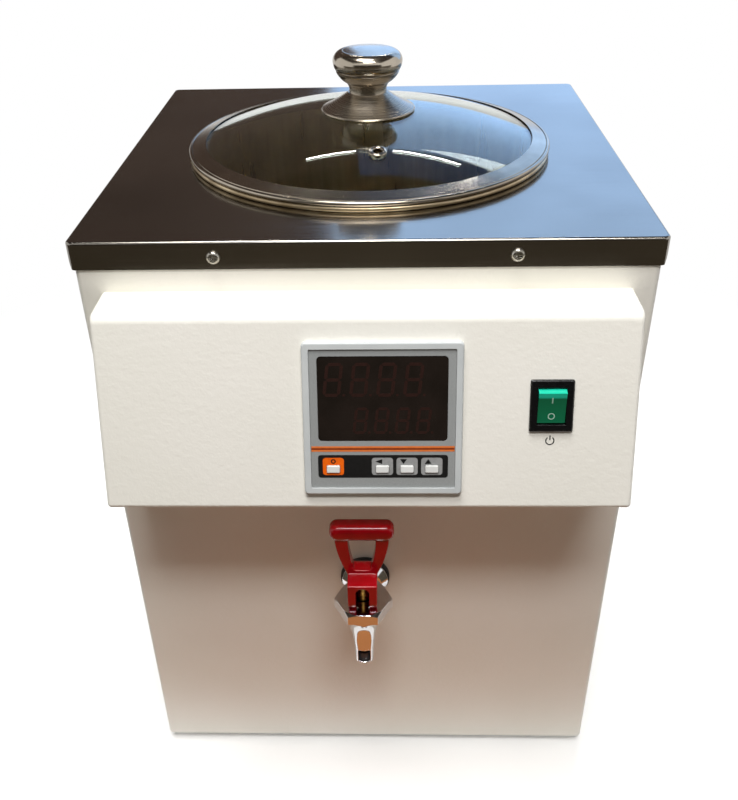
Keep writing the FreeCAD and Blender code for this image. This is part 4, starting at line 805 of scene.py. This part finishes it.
def card(name, size, at, look_at, code, strength, lights=False):
    """A coloured board that only reflections and glass see, and that also lights things if asked."""
    finish = Finish(f"{name}_card", "000000", roughness=1.0)
    patch = finish.ramp(finish.noise(1.2, 2), 0.9 * strength, 1.1 * strength)
    glow = finish.node("ShaderNodeEmission", Color=colour(code), Strength=patch)
    finish.links.new(glow.outputs[0], finish.nodes["Material Output"].inputs["Surface"])
    made = board(name, size, at, look_at, finish.material)
    made.visible_camera = False
    made.visible_shadow = False
    made.visible_diffuse = lights


def cards():
    """What metal and glass show: a dim room with a window behind, and a warm table in front."""
    card("room_left", (2.6, 2.2), (-1.45, 2.0, 1.7), (-1.45, -1, 1.7), "5c4f48", 1.0)
    card("window_pane", (1.2, 1.55), (0.46, 2.0, 1.475), (0.46, -1, 1.475), "a9cdfc", 2.1)
    card("window_frame", (0.12, 2.0), (1.12, 2.0, 1.7), (1.12, -1, 1.7), "4d6080", 1.2)
    card("window_side", (1.4, 1.9), (1.88, 2.0, 1.65), (1.88, -1, 1.65), "a9cdfc", 1.95)
    card("window_top", (1.2, 0.9), (0.46, 2.0, 2.7), (0.46, -1, 2.7), "5e79a8", 0.9)
    card("room_front", (6.0, 1.7), (0, -2.8, 0.86), (0, 1, 0.86), "3a332c", 1.0)
    card("table", (6.0, 2.6), (0, -1.495, 0.004), (0, -1.495, 1), "908470", 0.34, True)
    card("table_lit", (0.5, 0.32), (0, -0.36, 0.006), (0, -0.36, 1), "e0935a", 0.75, True)
    card("ceiling", (7.0, 6.0), (0, 0.2, 3.4), (0, 0.2, 0), "4a423a", 0.7)


def world_light():
    """A dim even light, which the camera, reflections and glass see as plain white."""
    world = bpy.data.worlds.new("room")
    bpy.context.scene.world = world
    world.use_nodes = True
    nodes, links = world.node_tree.nodes, world.node_tree.links
    light = nodes["Background"]
    light.inputs["Color"].default_value = (1, 1, 1, 1)
    strength = nodes.new("ShaderNodeMapRange")
    strength.inputs["To Min"].default_value = WORLD_LEVEL
    links.new(seen_level(nodes, links), strength.inputs["Value"])
    links.new(strength.outputs["Result"], light.inputs["Strength"])


def area_light(name, at, look_at, size, power):
    """A rectangular lamp that shines at a point, with its power in watts."""
    data = bpy.data.lights.new(name, "AREA")
    data.shape = "RECTANGLE"
    data.size, data.size_y = size
    data.energy = power
    made = add_object(name, data)
    made.location = at
    made.rotation_euler = (Vector(at) - Vector(look_at)).to_track_quat("Z", "Y").to_euler()
    return made


def lights():
    """A key lamp above, a front and a back lamp, and two tubes whose reflections lie on the lid."""
    middle = (0, 0, 0.3)
    area_light("key", (-0.2, -0.4, 2.5), middle, (1.0, 0.8), 41)
    area_light("front", (0.15, -1.1, 2.1), middle, (0.9, 0.3), 25)
    area_light("back", (0.5, 2.2, 1.8), middle, (1.2, 0.8), 22).visible_glossy = False
    area_light("tube_left", (-0.29, 1.5, 1.9), (-0.1, 0, 0.5), (0.34, 0.016), 1.2)
    area_light("tube_right", (0.37, 1.5, 1.9), (0.1, 0, 0.5), (0.47, 0.016), 1.6)


def camera():
    """The camera, at the photograph's angle."""
    data = bpy.data.cameras.new("camera")
    data.lens = CAMERA_LENS
    data.sensor_width = CAMERA_SENSOR
    data.shift_x, data.shift_y = CAMERA_SHIFT
    data.clip_start, data.clip_end = CAMERA_CLIP
    made = add_object("camera", data)
    turn = Matrix.Rotation(math.radians(-CAMERA_HEADING), 4, "Z")
    tilt = Matrix.Rotation(math.radians(90 - CAMERA_TILT), 4, "X")
    roll = Matrix.Rotation(math.radians(CAMERA_ROLL), 4, "Z")
    made.matrix_world = Matrix.Translation(CAMERA_AT) @ turn @ tilt @ roll
    bpy.context.scene.camera = made


paint_nodes()
soft_lever()
controller_print()
display_digits()
switch_marks()
power_sign()
valve_spring()
spout_lip()
spout_insert()

# The lid casts no shadow, so that the lamps light the pot under it.
NODES["lid_glass"].visible_shadow = False

floor()
cards()
world_light()
lights()
camera()
bpy.context.scene.view_settings.view_transform = "Standard"
